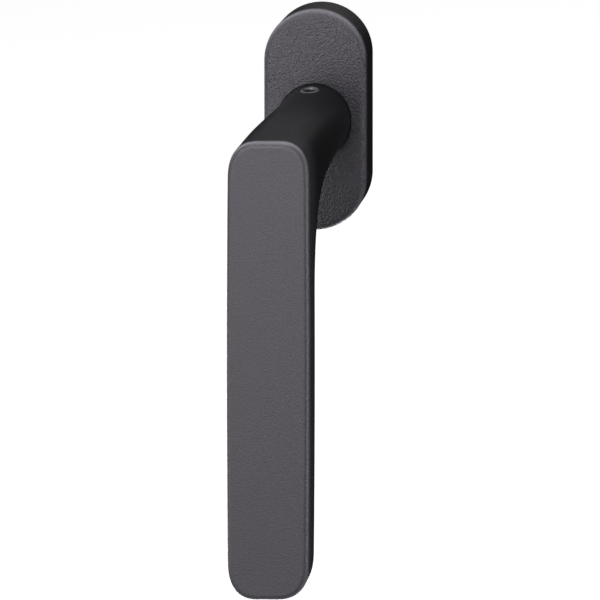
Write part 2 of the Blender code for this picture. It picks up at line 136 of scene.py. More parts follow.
class Tree:
    """Adds nodes to a shader tree or a geometry tree."""

    def __init__(self, tree: bpy.types.NodeTree) -> None:
        """Starts on an existing tree.

        Args:
            tree: The tree to add nodes to.
        """
        self.tree = tree

    def node(
        self, kind: str, settings: dict | None = None, inputs: dict | None = None
    ) -> bpy.types.Node:
        """Adds one node.

        Args:
            kind: The node's type name.
            settings: Properties to set first. "stops" holds a ramp's (place, colour) pairs.
            inputs: Values or terms for its sockets, by name or by place.

        Returns:
            The new node.
        """
        node = self.tree.nodes.new(kind)
        for name, value in (settings or {}).items():
            if name == "stops":
                self._set_stops(node, value)
            else:
                setattr(node, name, value)
        for key, value in (inputs or {}).items():
            socket = node.inputs[key]
            if isinstance(value, Term):
                self.tree.links.new(value.socket, socket)
            else:
                socket.default_value = value
        return node

    @staticmethod
    def _set_stops(node: bpy.types.Node, stops: Sequence[tuple[float, Colour]]) -> None:
        """Gives a colour ramp its stops."""
        elements = node.color_ramp.elements
        while len(elements) < len(stops):
            elements.new(0.5)
        for element, (place, colour) in zip(elements, stops):
            element.position = place
            element.color = (*colour, 1.0)

    def term(
        self,
        kind: str,
        output: str | int = 0,
        settings: dict | None = None,
        inputs: dict | None = None,
    ) -> Term:
        """Adds one node and returns one of its outputs as a term."""
        return Term(self, self.node(kind, settings, inputs).outputs[output])

    def math(self, operation: str, *values: Value, clamp: bool = False) -> Term:
        """Adds a Math node on these values and returns its result."""
        settings = {"operation": operation, "use_clamp": clamp}
        return self.term("ShaderNodeMath", 0, settings, dict(enumerate(values)))

    def vector(self, operation: str, output: str | int, *values: object) -> Term:
        """Adds a Vector Math node on these values and returns one output."""
        settings = {"operation": operation}
        return self.term("ShaderNodeVectorMath", output, settings, dict(enumerate(values)))

    def blend(self, factor: Value, one: object, other: object) -> Term:
        """Mixes two colours.

        Args:
            factor: Zero for the first colour and one for the second.
            one: The first colour, as a colour or a term.
            other: The second colour.

        Returns:
            The mixed colour.
        """
        inputs = {0: factor, 6: one, 7: other}
        return self.term("ShaderNodeMix", 2, {"data_type": "RGBA"}, inputs)

    def between(self, value: Value, low: float, high: float) -> Term:
        """Maps value from low..high to a smooth 0..1."""
        settings = {"interpolation_type": "SMOOTHSTEP"}
        inputs = {"Value": value, "From Min": low, "From Max": high}
        return self.term("ShaderNodeMapRange", 0, settings, inputs)


# ---------------------------------------------------------------- finishes


@dataclass(frozen=True)
class Finish:
    """A finish: its constants, and the patterns that its subclass adds."""

    name: str
    colour: Colour
    roughness: float
    metallic: float = 0.0
    specular: float = 0.5
    coat: float = 0.0

    def material(self) -> bpy.types.Material:
        """The finish as a procedural material.

        Returns:
            The material, made on the first call and shared after that.
        """
        found = bpy.data.materials.get(self.name)
        if found:
            return found
        made = bpy.data.materials.new(self.name)
        made.use_nodes = True
        tree = Tree(made.node_tree)
        shader = made.node_tree.nodes["Principled BSDF"]
        shader.inputs["Base Color"].default_value = (*self.colour, 1.0)
        shader.inputs["Roughness"].default_value = self.roughness
        shader.inputs["Metallic"].default_value = self.metallic
        shader.inputs["Specular IOR Level"].default_value = self.specular
        shader.inputs["Coat Weight"].default_value = self.coat
        place = tree.term("ShaderNodeTexCoord", "Object")
        for name, term in self.pattern(tree, place).items():
            made.node_tree.links.new(term.socket, shader.inputs[name])
        return made

    def pattern(self, tree: Tree, place: Term) -> dict[str, Term]:
        """The varying inputs of the shader.

        Args:
            tree: The material's tree.
            place: Object coordinates, in metres.

        Returns:
            A term for each input that varies.
        """
        return {}

    @staticmethod
    def noise(tree: Tree, place: Term, size: float, detail: float = 2.0, rough: float = 0.5) -> Term:
        """Noise with features of about this size in millimetres, around 0.5."""
        inputs = {"Vector": place, "Scale": 1.0 / (size * MM), "Detail": detail, "Roughness": rough}
        return tree.term("ShaderNodeTexNoise", "Fac", None, inputs)

    @staticmethod
    def painted_light_and_lip_share(tree: Tree) -> Term:
        """The share of the paler tone written on the mesh: painted highlights and painted light on the sides
        of the mouldings, and the paler lip of the set screw.
        """
        chosen = {"attribute_name": PAINTED_LIGHT_AND_LIP, "attribute_type": "GEOMETRY"}
        return tree.term("ShaderNodeAttribute", "Fac", chosen)

    @staticmethod
    def stretched(tree: Tree, place: Term, scale: Colour) -> Term:
        """Coordinates scaled per axis, so that a pattern is drawn out."""
        return tree.term("ShaderNodeMapping", 0, None, {"Vector": place, "Scale": scale})

    @staticmethod
    def bump(tree: Tree, height: Term, depth: float, strength: float = 1.0) -> Term:
        """A normal from a height of 0..1 that stands for this depth in millimetres."""
        inputs = {"Height": height, "Distance": depth * MM, "Strength": strength}
        return tree.term("ShaderNodeBump", 0, None, inputs)

    def tinted(self, tree: Tree, amount: Term, light: float, dark: float) -> Term:
        """The colour made lighter or darker by an amount of 0..1.

        Args:
            tree: The material's tree.
            amount: Zero for the darkest and one for the lightest.
            light: Factor on the colour where amount is one.
            dark: Factor on the colour where amount is zero.

        Returns:
            The colour.
        """
        low = (*(channel * dark for channel in self.colour), 1.0)
        high = (*(channel * light for channel in self.colour), 1.0)
        return tree.blend(amount, low, high)


@dataclass(frozen=True)
class GrainedPolyamide(Finish):
    """Matt moulded polyamide with a fine, even grain, and painted highlights: a paler tone along its front
    edges and painted light on the grip's sides.
    """

    grain: float = 0.5
    depth: float = 0.02
    # Paler colour painted in as highlights along the front edges and as light on the grip's sides.
    painted_light_colour: Colour = (0.46, 0.446, 0.468)

    def pattern(self, tree: Tree, place: Term) -> dict[str, Term]:
        """Grain in the normal, slow changes of tone and sheen, and the painted highlights along the edges.
        """
        pits = self.noise(tree, place, self.grain, 0.0)
        fine = self.noise(tree, place, self.grain * 0.55, 0.0)
        cloud = self.noise(tree, place, 14.0, 3.0)
        # Painted highlight: paler colour and a little less roughness where the mesh asks for painted light.
        lightened_share = self.painted_light_and_lip_share(tree) * (0.55 + cloud * 0.5)
        tone = tree.math("ADD", pits * 0.6 + cloud * 0.4, 0.0, clamp=True)
        sheen = self.roughness + (cloud - 0.5) * 0.08 + (fine - 0.5) * 0.12 - lightened_share * 0.12
        return {
            "Base Color": tree.blend(
                lightened_share, self.tinted(tree, tone, 1.35, 0.65), (*self.painted_light_colour, 1.0)
            ),
            "Roughness": tree.math("ADD", sheen, 0.0, clamp=True),
            "Normal": self.bump(tree, pits + fine * 0.5, self.depth),
        }


@dataclass(frozen=True)
class GlassFilledPolymer(Finish):
    """Black glass-filled moulding, a little streaky where it flowed."""

    def pattern(self, tree: Tree, place: Term) -> dict[str, Term]:
        """Flow streaks and short fibres near the surface."""
        flow = self.noise(tree, self.stretched(tree, place, (1.0, 1.0, 0.22)), 2.4, 4.0)
        fibre = self.noise(tree, self.stretched(tree, place, (1.0, 0.3, 1.0)), 0.25, 2.0)
        skin = self.noise(tree, place, 0.8, 3.0)
        tone = tree.between(flow * 0.6 + fibre * 0.4, 0.35, 0.68)
        return {
            "Base Color": self.tinted(tree, tone, 1.6, 0.7),
            "Roughness": self.roughness + (flow - 0.5) * 0.25,
            "Normal": self.bump(tree, skin * 0.6 + fibre * 0.4, 0.012),
        }


class Lay(Enum):
    """The way that a drawn or rolled surface runs."""

    ALONG_SPINDLE = (1.0, 0.04, 1.0)
    UPRIGHT = (1.0, 1.0, 0.05)
    EVEN = (1.0, 1.0, 1.0)


@dataclass(frozen=True)
class PlatedSteel(Finish):
    """Zinc-plated steel: bright, faintly blue and straw, with rolling marks."""

    lay: Lay = Lay.EVEN
    tint: Colour = (0.78, 0.74, 0.60)

    def pattern(self, tree: Tree, place: Term) -> dict[str, Term]:
        """Rolling lines, clouds in the passivation and a few dull spots."""
        lines = self.noise(tree, self.stretched(tree, place, self.lay.value), 0.16, 3.0, 0.6)
        cloud = self.noise(tree, place, 5.0, 4.0, 0.6)
        spots = tree.between(self.noise(tree, place, 0.9, 2.0), 0.62, 0.72)
        colour = tree.blend(
            tree.between(cloud, 0.38, 0.66), (*self.colour, 1.0), (*self.tint, 1.0)
        )
        dulled = tree.blend(spots * 0.35, colour, (0.34, 0.35, 0.36, 1.0))
        sheen = self.roughness + (lines - 0.5) * 0.22 + spots * 0.18 + (cloud - 0.5) * 0.12
        return {
            "Base Color": dulled,
            "Roughness": tree.math("ADD", sheen, 0.0, clamp=True),
            "Normal": self.bump(tree, lines, 0.006),
        }


@dataclass(frozen=True)
class SpringSteel(Finish):
    """Tempered strip with a blue and straw film."""

    def pattern(self, tree: Tree, place: Term) -> dict[str, Term]:
        """Bands of temper colour and fine rolling lines."""
        cloud = self.noise(tree, place, 3.0, 3.0)
        lines = self.noise(tree, self.stretched(tree, place, (1.0, 1.0, 0.05)), 0.12, 2.0)
        stops = [
            (0.30, (0.20, 0.22, 0.30)),
            (0.48, self.colour),
            (0.66, (0.46, 0.38, 0.26)),
        ]
        film = tree.term("ShaderNodeValToRGB", 0, {"stops": stops}, {"Fac": cloud})
        return {
            "Base Color": film,
            "Roughness": self.roughness + (lines - 0.5) * 0.2,
            "Normal": self.bump(tree, lines, 0.004),
        }


@dataclass(frozen=True)
class DieCastZinc(Finish):
    """Bare zinc die casting with a frosted skin."""

    def pattern(self, tree: Tree, place: Term) -> dict[str, Term]:
        """A frosted skin, cold-flow marks and tiny pores."""
        skin = self.noise(tree, place, 0.35, 4.0, 0.65)
        flow = self.noise(tree, self.stretched(tree, place, (1.0, 0.4, 1.0)), 2.0, 3.0)
        pores = tree.between(self.noise(tree, place, 0.28, 1.0), 0.70, 0.76)
        tone = tree.between(skin * 0.5 + flow * 0.5 - pores * 0.3, 0.25, 0.72)
        return {
            "Base Color": self.tinted(tree, tone, 1.18, 0.62),
            "Roughness": self.roughness + (flow - 0.5) * 0.25,
            "Normal": self.bump(tree, skin - pores, 0.018),
        }


@dataclass(frozen=True)
class BlackOxide(Finish):
    """Blackened steel, paler grey on its lip, and worn thin in small patches."""

    lip_and_patch_grey: Colour = (0.33, 0.33, 0.34)

    def pattern(self, tree: Tree, place: Term) -> dict[str, Term]:
        """An uneven black film, worn thin in small patches, and paler grey where the mesh marks the lip."""
        cloud = self.noise(tree, place, 1.1, 4.0, 0.7)
        # Paler grey on the lip, from the mesh's share, and in small random patches.
        lightened_share = self.painted_light_and_lip_share(tree) * 0.85 + tree.between(cloud, 0.56, 0.72) * 0.12
        skin = self.noise(tree, place, 0.12, 2.0)
        return {
            "Base Color": tree.blend(lightened_share, (*self.colour, 1.0), (*self.lip_and_patch_grey, 1.0)),
            "Roughness": self.roughness + (cloud - 0.5) * 0.3,
            "Normal": self.bump(tree, skin, 0.005),
        }


@dataclass(frozen=True)
class SinteredBronze(Finish):
    """Pressed and sintered bronze with open pores."""

    def pattern(self, tree: Tree, place: Term) -> dict[str, Term]:
        """Oil-dark pores in a granular metal."""
        grains = tree.term("ShaderNodeTexVoronoi", "Distance", None, {"Vector": place, "Scale": 4200.0})
        pores = tree.between(self.noise(tree, place, 0.22, 2.0), 0.58, 0.70)
        tone = tree.between(grains, 0.1, 0.9)
        return {
            "Base Color": tree.blend(pores, self.tinted(tree, tone, 1.1, 0.7), (0.07, 0.045, 0.02, 1.0)),
            "Roughness": self.roughness + pores * 0.3,
            "Normal": self.bump(tree, grains - pores, 0.02),
        }


@dataclass(frozen=True)
class Acetal(Finish):
    """Smooth natural acetal with faint flow lines and a film of grease."""

    def pattern(self, tree: Tree, place: Term) -> dict[str, Term]:
        """Soft changes of tone, and a slicker film in patches."""
        flow = self.noise(tree, place, 2.2, 3.0)
        film = tree.between(self.noise(tree, place, 4.5, 2.0), 0.45, 0.6)
        return {
            "Base Color": self.tinted(tree, flow, 1.06, 0.86),
            "Roughness": self.roughness + (flow - 0.5) * 0.2 - film * 0.12,
            "Normal": self.bump(tree, flow, 0.01),
        }


POLYAMIDE = GrainedPolyamide("anthracite_polyamide", (0.029, 0.0276, 0.0299), 0.42, grain=0.5, depth=0.036)
COVER_SKIN = GrainedPolyamide("anthracite_cover", (0.0365, 0.0348, 0.0376), 0.44, grain=0.54, depth=0.2)
BASE_POLYMER = GlassFilledPolymer("black_base_polymer", (0.02, 0.02, 0.021), 0.52)
PLATE_STEEL = PlatedSteel("plated_sheet", (0.80, 0.81, 0.82), 0.52, metallic=1.0, lay=Lay.UPRIGHT)
BAR_STEEL = PlatedSteel("plated_bar", (0.66, 0.67, 0.69), 0.30, metallic=1.0, lay=Lay.ALONG_SPINDLE)
SCREW_STEEL = PlatedSteel("plated_screw", (0.68, 0.69, 0.71), 0.27, metallic=1.0)
SPRING = SpringSteel("tempered_strip", (0.36, 0.35, 0.35), 0.28, metallic=1.0)
CAST_ZINC = DieCastZinc("die_cast_zinc", (0.50, 0.51, 0.53), 0.44, metallic=1.0)
BLACK_STEEL = BlackOxide("black_oxide", (0.02, 0.02, 0.021), 0.4, metallic=0.3)
BRONZE = SinteredBronze("sintered_bronze", (0.55, 0.36, 0.17), 0.42, metallic=1.0)
ACETAL = Acetal("natural_acetal", (0.74, 0.72, 0.66), 0.34)


# ---------------------------------------------------------------- shapes


def stadium(width: float, height: float, steps: int = 48) -> list[Point]:
    """Outline of an upright stadium in x and z, with this many steps at each end."""
    radius, rise = width / 2, (height - width) / 2
    points = []
    for start, centre in ((0.0, rise), (math.pi, -rise)):
        for i in range(steps + 1):
            turn = start + math.pi * i / steps
            points.append((radius * math.cos(turn), centre + radius * math.sin(turn)))
    return points


def circle(radius: float, steps: int = 64, x: float = 0.0, z: float = 0.0) -> list[Point]:
    """Outline of a circle about x, z."""
    turns = (math.tau * i / steps for i in range(steps))
    return [(x + radius * math.cos(turn), z + radius * math.sin(turn)) for turn in turns]


def box(x: float, z: float, centre: Point = (0.0, 0.0), corner: float = 0.0) -> list[Point]:
    """Outline of a rectangle of half-sizes x and z, with rounded corners."""
    points = []
    for i, (sx, sz) in enumerate(((1, 1), (-1, 1), (-1, -1), (1, -1))):
        for step in range(7 if corner else 1):
            turn = math.pi / 2 * (i + step / 6)
            points.append(
                (
                    centre[0] + sx * (x - corner) + corner * math.cos(turn),
                    centre[1] + sz * (z - corner) + corner * math.sin(turn),
                )
            )
    return points


def arc(centre: Point, radius: float, start: float, end: float, steps: int = 8) -> list[Point]:
    """Points along an arc, from start to end in degrees."""
    turns = (math.radians(start + (end - start) * i / steps) for i in range(steps + 1))
    return [(centre[0] + radius * math.cos(t), centre[1] + radius * math.sin(t)) for t in turns]


def band(path: Sequence[Point], thickness: float) -> list[Point]:
    """Outline of a strip of this thickness that follows a path."""
    line = np.array(path)
    run = np.gradient(line, axis=0)
    run /= np.linalg.norm(run, axis=1)[:, None]
    across = np.stack([-run[:, 1], run[:, 0]], axis=1) * thickness / 2
    return [tuple(p) for p in (*(line + across), *(line - across)[::-1])]


class Solid:
    """A closed mesh under construction, in millimetres."""

    def __init__(self) -> None:
        """Starts empty."""
        self.bm = bmesh.new()

    @classmethod
    def prism(cls, outline: Sequence[Point], back: float, front: float) -> "Solid":
        """An outline in x and z, extruded from reach back to reach front."""
        return cls._extruded([(x, -back, z) for x, z in outline], (0.0, back - front, 0.0))

    @classmethod
    def tapered(cls, outline: Sequence[Point], ends: Point, centre: Point, share: float) -> "Solid":
        """A prism whose outline shrinks about a centre to a share of its size at the back."""
        rings = []
        for reach, size in zip(ends, (share, 1.0)):
            points = [
                (centre[0] + (x - centre[0]) * size, -reach, centre[1] + (z - centre[1]) * size)
                for x, z in outline
            ]
            rings.append(np.array(points))
        return cls.loft(rings)

    @classmethod
    def slab(cls, outline: Sequence[Point], left: float, right: float) -> "Solid":
        """An outline in reach and z, extruded from x left to x right."""
        return cls._extruded([(left, -reach, z) for reach, z in outline], (right - left, 0.0, 0.0))

    @classmethod
    def column(cls, outline: Sequence[Point], reach: float, low: float, high: float) -> "Solid":
        """An outline in x and depth about a reach, extruded from low to high."""
        return cls._extruded([(x, y - reach, low) for x, y in outline], (0.0, 0.0, high - low))

    @classmethod
    def _extruded(cls, corners: Sequence[tuple], move: tuple) -> "Solid":
        """A face through the corners, extruded by a move."""
        made = cls()
        face = made.bm.faces.new([made.bm.verts.new(corner) for corner in corners])
        grown = bmesh.ops.extrude_face_region(made.bm, geom=[face])["geom"]
        moved = [item for item in grown if isinstance(item, bmesh.types.BMVert)]
        bmesh.ops.translate(made.bm, verts=moved, vec=move)
        bmesh.ops.recalc_face_normals(made.bm, faces=made.bm.faces)
        return made

    @classmethod
    def loft(cls, rings: Sequence[np.ndarray]) -> "Solid":
        """A skin over closed rings of points, capped at both ends."""
        made = cls()
        rows = [[made.bm.verts.new(point) for point in ring] for ring in rings]
        count = len(rows[0])
        for one, two in zip(rows, rows[1:]):
            for i in range(count):
                j = (i + 1) % count
                made.bm.faces.new((one[i], one[j], two[j], two[i]))
        made.bm.faces.new(rows[0])
        made.bm.faces.new(rows[-1])
        bmesh.ops.recalc_face_normals(made.bm, faces=made.bm.faces)
        return made

    @classmethod
    def of_mesh(cls, mesh: bpy.types.Mesh) -> "Solid":
        """A finished mesh in metres, opened again in millimetres."""
        made = cls()
        made.bm.from_mesh(mesh)
        bmesh.ops.scale(made.bm, vec=(1 / MM,) * 3, verts=made.bm.verts)
        return made

    def moved(self, x: float = 0.0, reach: float = 0.0, z: float = 0.0) -> "Solid":
        """This solid, shifted."""
        bmesh.ops.translate(self.bm, verts=self.bm.verts, vec=(x, -reach, z))
        return self

    def turned(self, degrees: float, axis: str) -> "Solid":
        """This solid, turned about a world axis through the origin."""
        matrix = Matrix.Rotation(math.radians(degrees), 3, axis)
        bmesh.ops.rotate(self.bm, verts=self.bm.verts, cent=(0, 0, 0), matrix=matrix)
        return self

    def soften(self, pick: Callable[[bmesh.types.BMEdge], bool], width: float, steps: int = 3) -> "Solid":
        """Rounds the edges that a test picks.

        Args:
            pick: The test of an edge.
            width: The width of the rounding.
            steps: Its number of faces.

        Returns:
            This solid.
        """
        edges = [edge for edge in self.bm.edges if pick(edge)]
        bmesh.ops.bevel(
            self.bm,
            geom=edges,
            offset=width,
            segments=steps,
            profile=0.5,
            affect="EDGES",
            clamp_overlap=True,
        )
        return self

    def sharp_edges(self, least: float = 30.0) -> Callable[[bmesh.types.BMEdge], bool]:
        """A test for edges that turn by at least this many degrees."""
        limit = math.radians(least)
        return lambda edge: len(edge.link_faces) == 2 and edge.calc_face_angle(0.0) > limit

    def _object(self, name: str) -> bpy.types.Object:
        """A scratch object that holds this solid."""
        mesh = bpy.data.meshes.new(name)
        self.bm.to_mesh(mesh)
        made = bpy.data.objects.new(name, mesh)
        bpy.context.scene.collection.objects.link(made)
        return made

    def combined(self, others: Iterable["Solid"], operation: str = "DIFFERENCE") -> "Solid":
        """This solid less, or joined with, the others.

        Args:
            others: The other solids, which are used up.
            operation: DIFFERENCE, UNION or INTERSECT.

        Returns:
            This solid.
        """
        target = self._object("scratch_target")
        tools = [other._object("scratch_tool") for other in others]
        for tool in tools:
            step = target.modifiers.new("cut", "BOOLEAN")
            step.operation, step.solver, step.object = operation, "EXACT", tool
        mesh = evaluated_mesh(target)
        self.bm.clear()
        self.bm.from_mesh(mesh)
        bpy.data.meshes.remove(mesh)
        for scratch in (target, *tools):
            bpy.data.objects.remove(scratch, do_unlink=True)
        return self

    def mesh(self, name: str) -> bpy.types.Mesh:
        """The solid as a finished mesh in metres, with sharp edges kept sharp.

        Args:
            name: The mesh's name.

        Returns:
            The mesh. The solid is used up.
        """
        bmesh.ops.remove_doubles(self.bm, verts=self.bm.verts, dist=MERGE)
        bmesh.ops.dissolve_degenerate(self.bm, dist=MERGE / 2, edges=self.bm.edges)
        bmesh.ops.recalc_face_normals(self.bm, faces=self.bm.faces)
        bmesh.ops.scale(self.bm, vec=(MM, MM, MM), verts=self.bm.verts)
        mesh = bpy.data.meshes.new(name)
        self.bm.to_mesh(mesh)
        self.bm.free()
        mesh.shade_smooth()
        mesh.set_sharp_from_angle(angle=math.radians(28))
        return mesh


def evaluated_mesh(source: bpy.types.Object) -> bpy.types.Mesh:
    """A plain mesh of an object with its modifiers applied."""
    graph = bpy.context.evaluated_depsgraph_get()
    return bpy.data.meshes.new_from_object(source.evaluated_get(graph))


def rim(reach: float) -> Callable[[bmesh.types.BMEdge], bool]:
    """A test for edges that lie in the plane at a reach."""
    return lambda edge: all(abs(v.co.y + reach) < 1e-3 for v in edge.verts)


def mark_edges(mesh: bpy.types.Mesh, painted_light_and_lip_share: np.ndarray) -> None:
    """Writes how much of the paler tone each point takes, for the finish to read: painted highlights and
    painted light on the mouldings, and the paler lip of the set screw.

    Args:
        mesh: The mesh that gets the attribute.
        painted_light_and_lip_share: A share from 0 to 1 for every vertex.
    """
    attribute = mesh.attributes.new(PAINTED_LIGHT_AND_LIP, "FLOAT", "POINT")
    attribute.data.foreach_set("value", np.clip(painted_light_and_lip_share, 0.0, 1.0).astype(np.float32))


def painted_highlight_share(normals: np.ndarray, middle: float = 0.5, spread: float = 0.49) -> np.ndarray:
    """Where the painted highlight goes: a share that peaks part of the way round a front fillet, most at top
    and bottom.

    Args:
        normals: One normal per point, in the frame's axes.
        middle: How squarely a normal looks to the front where the share peaks.
        spread: How far from there the share falls to nothing.

    Returns:
        One share for each point.
    """
    ring = np.clip(1.0 - np.abs(-normals[:, 1] - middle) / spread, 0.0, 1.0)
    return ring * (0.3 + 0.7 * np.clip(1.5 * np.abs(normals[:, 2]), 0.0, 1.0))


def vertex_frame(mesh: bpy.types.Mesh) -> tuple[np.ndarray, np.ndarray]:
    """The positions in millimetres and the normals of a finished mesh's vertices."""
    flat, turned = np.empty(len(mesh.vertices) * 3), np.empty(len(mesh.vertices) * 3)
    mesh.vertices.foreach_get("co", flat)
    mesh.vertex_normals.foreach_get("vector", turned)
    return flat.reshape(-1, 3) / MM, turned.reshape(-1, 3)


def add_piece(
    name: str,
    mesh: bpy.types.Mesh,
    finish: Finish,
    body: str,
    replaces: Sequence[str] = (),
) -> bpy.types.Object:
    """Puts a finished mesh into the model.

    Args:
        name: The piece's name.
        mesh: Its mesh, in metres and in place.
        finish: Its finish.
        body: The moving body that carries it.
        replaces: The nodes that it stands for.

    Returns:
        The piece's object.
    """
    mesh.materials.clear()
    mesh.materials.append(finish.material())
    piece = bpy.data.objects.new(name, mesh)
    bpy.context.scene.collection.objects.link(piece)
    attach(piece, body)
    if replaces:
        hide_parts(*replaces)
    mesh.calc_loop_triangles()
    log.info("%s: %d triangles, on %s", name, len(mesh.loop_triangles), body)
    return piece


# ---------------------------------------------------------------- geometry node rules


class Rule:
    """A Geometry Nodes tree with named inputs that turns a profile into a mesh."""

    def __init__(self, name: str, inputs: dict[str, str]) -> None:
        """Starts the tree.

        Args:
            name: The tree's name.
            inputs: The socket type of each named input.
        """
        self.group = bpy.data.node_groups.new(name, "GeometryNodeTree")
        face = self.group.interface
        face.new_socket("Geometry", in_out="INPUT", socket_type="NodeSocketGeometry")
        face.new_socket("Geometry", in_out="OUTPUT", socket_type="NodeSocketGeometry")
        for key, kind in inputs.items():
            face.new_socket(key, in_out="INPUT", socket_type=kind)
        self.tree = Tree(self.group)
        self.given = self.tree.node("NodeGroupInput")

    def input(self, name: str) -> Term:
        """One of the tree's inputs."""
        return Term(self.tree, self.given.outputs[name])

    def grid(self, rows: Term, columns: Value, profile: Term) -> tuple[Term, Term, Term]:
        """A grid with one row for each profile point and one more column than steps.

        Args:
            rows: Number of profile points.
            columns: Number of steps round.
            profile: The profile's geometry.

        Returns:
            The grid's mesh, the turn of a point in radians, and its profile point.
        """
        tree = self.tree
        down = rows + 1.0
        sheet = tree.term(
            "GeometryNodeMeshGrid", "Mesh", None, {"Vertices X": columns + 1.0, "Vertices Y": down}
        )
        index = tree.term("GeometryNodeInputIndex")
        column = tree.math("FLOOR", (index + 0.5) / down)
        row = tree.math("MODULO", index - column * down, rows)
        sample = tree.term(
            "GeometryNodeSampleIndex",
            0,
            {"data_type": "FLOAT_VECTOR", "domain": "POINT"},
            {
                "Geometry": profile,
                "Value": tree.term("GeometryNodeInputPosition"),
                "Index": tree.math("ROUND", row),
            },
        )
        return sheet, column / columns * math.tau, sample

    def close(self, sheet: Term, position: Term) -> None:
        """Moves the grid's points, joins its seams and ends the tree."""
        tree = self.tree
        shaped = tree.term(
            "GeometryNodeSetPosition", 0, None, {"Geometry": sheet, "Position": position}
        )
        joined = tree.term(
            "GeometryNodeMergeByDistance", 0, None, {"Geometry": shaped, "Distance": MERGE}
        )
        self.end(joined)

    def end(self, geometry: Term) -> None:
        """Realises the instances, sets the material and connects the output."""
        tree = self.tree
        real = tree.term("GeometryNodeRealizeInstances", 0, None, {"Geometry": geometry})
        dressed = tree.term(
            "GeometryNodeSetMaterial",
            0,
            None,
            {"Geometry": real, "Material": self.input("Material")},
        )
        tree.node("NodeGroupOutput", None, {"Geometry": dressed})

    def run(self, source: bpy.types.Mesh, values: dict[str, object]) -> Solid:
        """Runs the tree on a mesh.

        Args:
            source: The profile or the points that the tree works on.
            values: A value for each named input.

        Returns:
            The result, in millimetres.
        """
        carrier = bpy.data.objects.new("scratch_rule", source)
        bpy.context.scene.collection.objects.link(carrier)
        step = carrier.modifiers.new("rule", "NODES")
        step.node_group = self.group
        for item in self.group.interface.items_tree:
            if item.in_out == "INPUT" and item.name in values:
                step[item.identifier] = values[item.name]
        mesh = evaluated_mesh(carrier)
        carrier.modifiers.remove(step)
        bpy.data.objects.remove(carrier, do_unlink=True)
        made = Solid()
        made.bm.from_mesh(mesh)
        bpy.data.meshes.remove(mesh)
        bmesh.ops.remove_doubles(made.bm, verts=made.bm.verts, dist=MERGE)
        wires = [edge for edge in made.bm.edges if not edge.link_faces]
        bmesh.ops.delete(made.bm, geom=wires, context="EDGES")
        bmesh.ops.recalc_face_normals(made.bm, faces=made.bm.faces)
        return made


def point_mesh(points: Sequence[tuple[float, float, float]]) -> bpy.types.Mesh:
    """A mesh of loose points, as a rule's source."""
    mesh = bpy.data.meshes.new("scratch_points")
    mesh.from_pydata([tuple(p) for p in points], [], [])
    return mesh


class TurnedRule(Rule):
    """A turned part along the reach axis, with a screw thread where its profile asks.

    A profile point is (radius, reach, share of the thread's depth).
    """

    def __init__(self) -> None:
        """Builds the tree."""
        super().__init__(
            "turned_part",
            {
                "Columns": "NodeSocketInt",
                "Thread Depth": "NodeSocketFloat",
                "Thread Pitch": "NodeSocketFloat",
                "Material": "NodeSocketMaterial",
            },
        )
        tree = self.tree
        profile = self.input("Geometry")
        rows = tree.term(
            "GeometryNodeAttributeDomainSize", "Point Count", None, {"Geometry": profile}
        )
        sheet, turn, sample = self.grid(rows, self.input("Columns") + 0.0, profile)
        parts = tree.node("ShaderNodeSeparateXYZ", None, {0: sample})
        radius, reach, share = (Term(tree, parts.outputs[i]) for i in range(3))
        phase = tree.math("FRACT", reach / self.input("Thread Pitch") - turn / math.tau)
        ridge = tree.math("ABSOLUTE", phase * 2.0 - 1.0)
        flank = tree.between(ridge, 0.12, 0.88)
        cut = self.input("Thread Depth") * share * (1.0 - flank)
        lathe = radius - cut
        place = tree.term(
            "ShaderNodeCombineXYZ",
            0,
            None,
            {
                0: lathe * tree.math("COSINE", turn),
                1: reach * -1.0,
                2: lathe * tree.math("SINE", turn),
            },
        )
        self.close(sheet, place)


class CapRule(Rule):
    """The cover's rule: a stadium outside that becomes a circle at the hole.

    A profile point is (inset from the outline, reach, share of the circle).
    """

    def __init__(self) -> None:
        """Builds the tree."""
        super().__init__(
            "stadium_cap",
            {
                "Columns": "NodeSocketInt",
                "Width": "NodeSocketFloat",
                "Height": "NodeSocketFloat",
                "Hole Radius": "NodeSocketFloat",
                "Material": "NodeSocketMaterial",
            },
        )
        tree = self.tree
        profile = self.input("Geometry")
        rows = tree.term(
            "GeometryNodeAttributeDomainSize", "Point Count", None, {"Geometry": profile}
        )
        sheet, turn, sample = self.grid(rows, self.input("Columns") + 0.0, profile)
        parts = tree.node("ShaderNodeSeparateXYZ", None, {0: sample})
        inset, reach, share = (Term(tree, parts.outputs[i]) for i in range(3))
        across, up = tree.math("COSINE", turn), tree.math("SINE", turn)
        radius = self.input("Width") * 0.5 - inset
        rise = (self.input("Height") - self.input("Width")) * 0.5
        side = tree.math("SIGN", tree.math("SNAP", up, 1e-4))
        hole = self.input("Hole Radius")
        x = radius * across * (1.0 - share) + hole * across * share
        z = (radius * up + rise * side) * (1.0 - share) + hole * up * share
        place = tree.term("ShaderNodeCombineXYZ", 0, None, {0: x, 1: reach * -1.0, 2: z})
        self.close(sheet, place)


class ScatterRule(Rule):
    """Copies of a profile-turned head, one on each source point."""

    def __init__(self) -> None:
        """Builds the tree."""
        super().__init__(
            "copies_on_points", {"Copy": "NodeSocketObject", "Material": "NodeSocketMaterial"}
        )
        tree = self.tree
        shape = tree.term(
            "GeometryNodeObjectInfo", "Geometry", None, {"Object": self.input("Copy")}
        )
        copies = tree.term(
            "GeometryNodeInstanceOnPoints",
            0,
            None,
            {"Points": self.input("Geometry"), "Instance": shape},
        )
        self.end(copies)


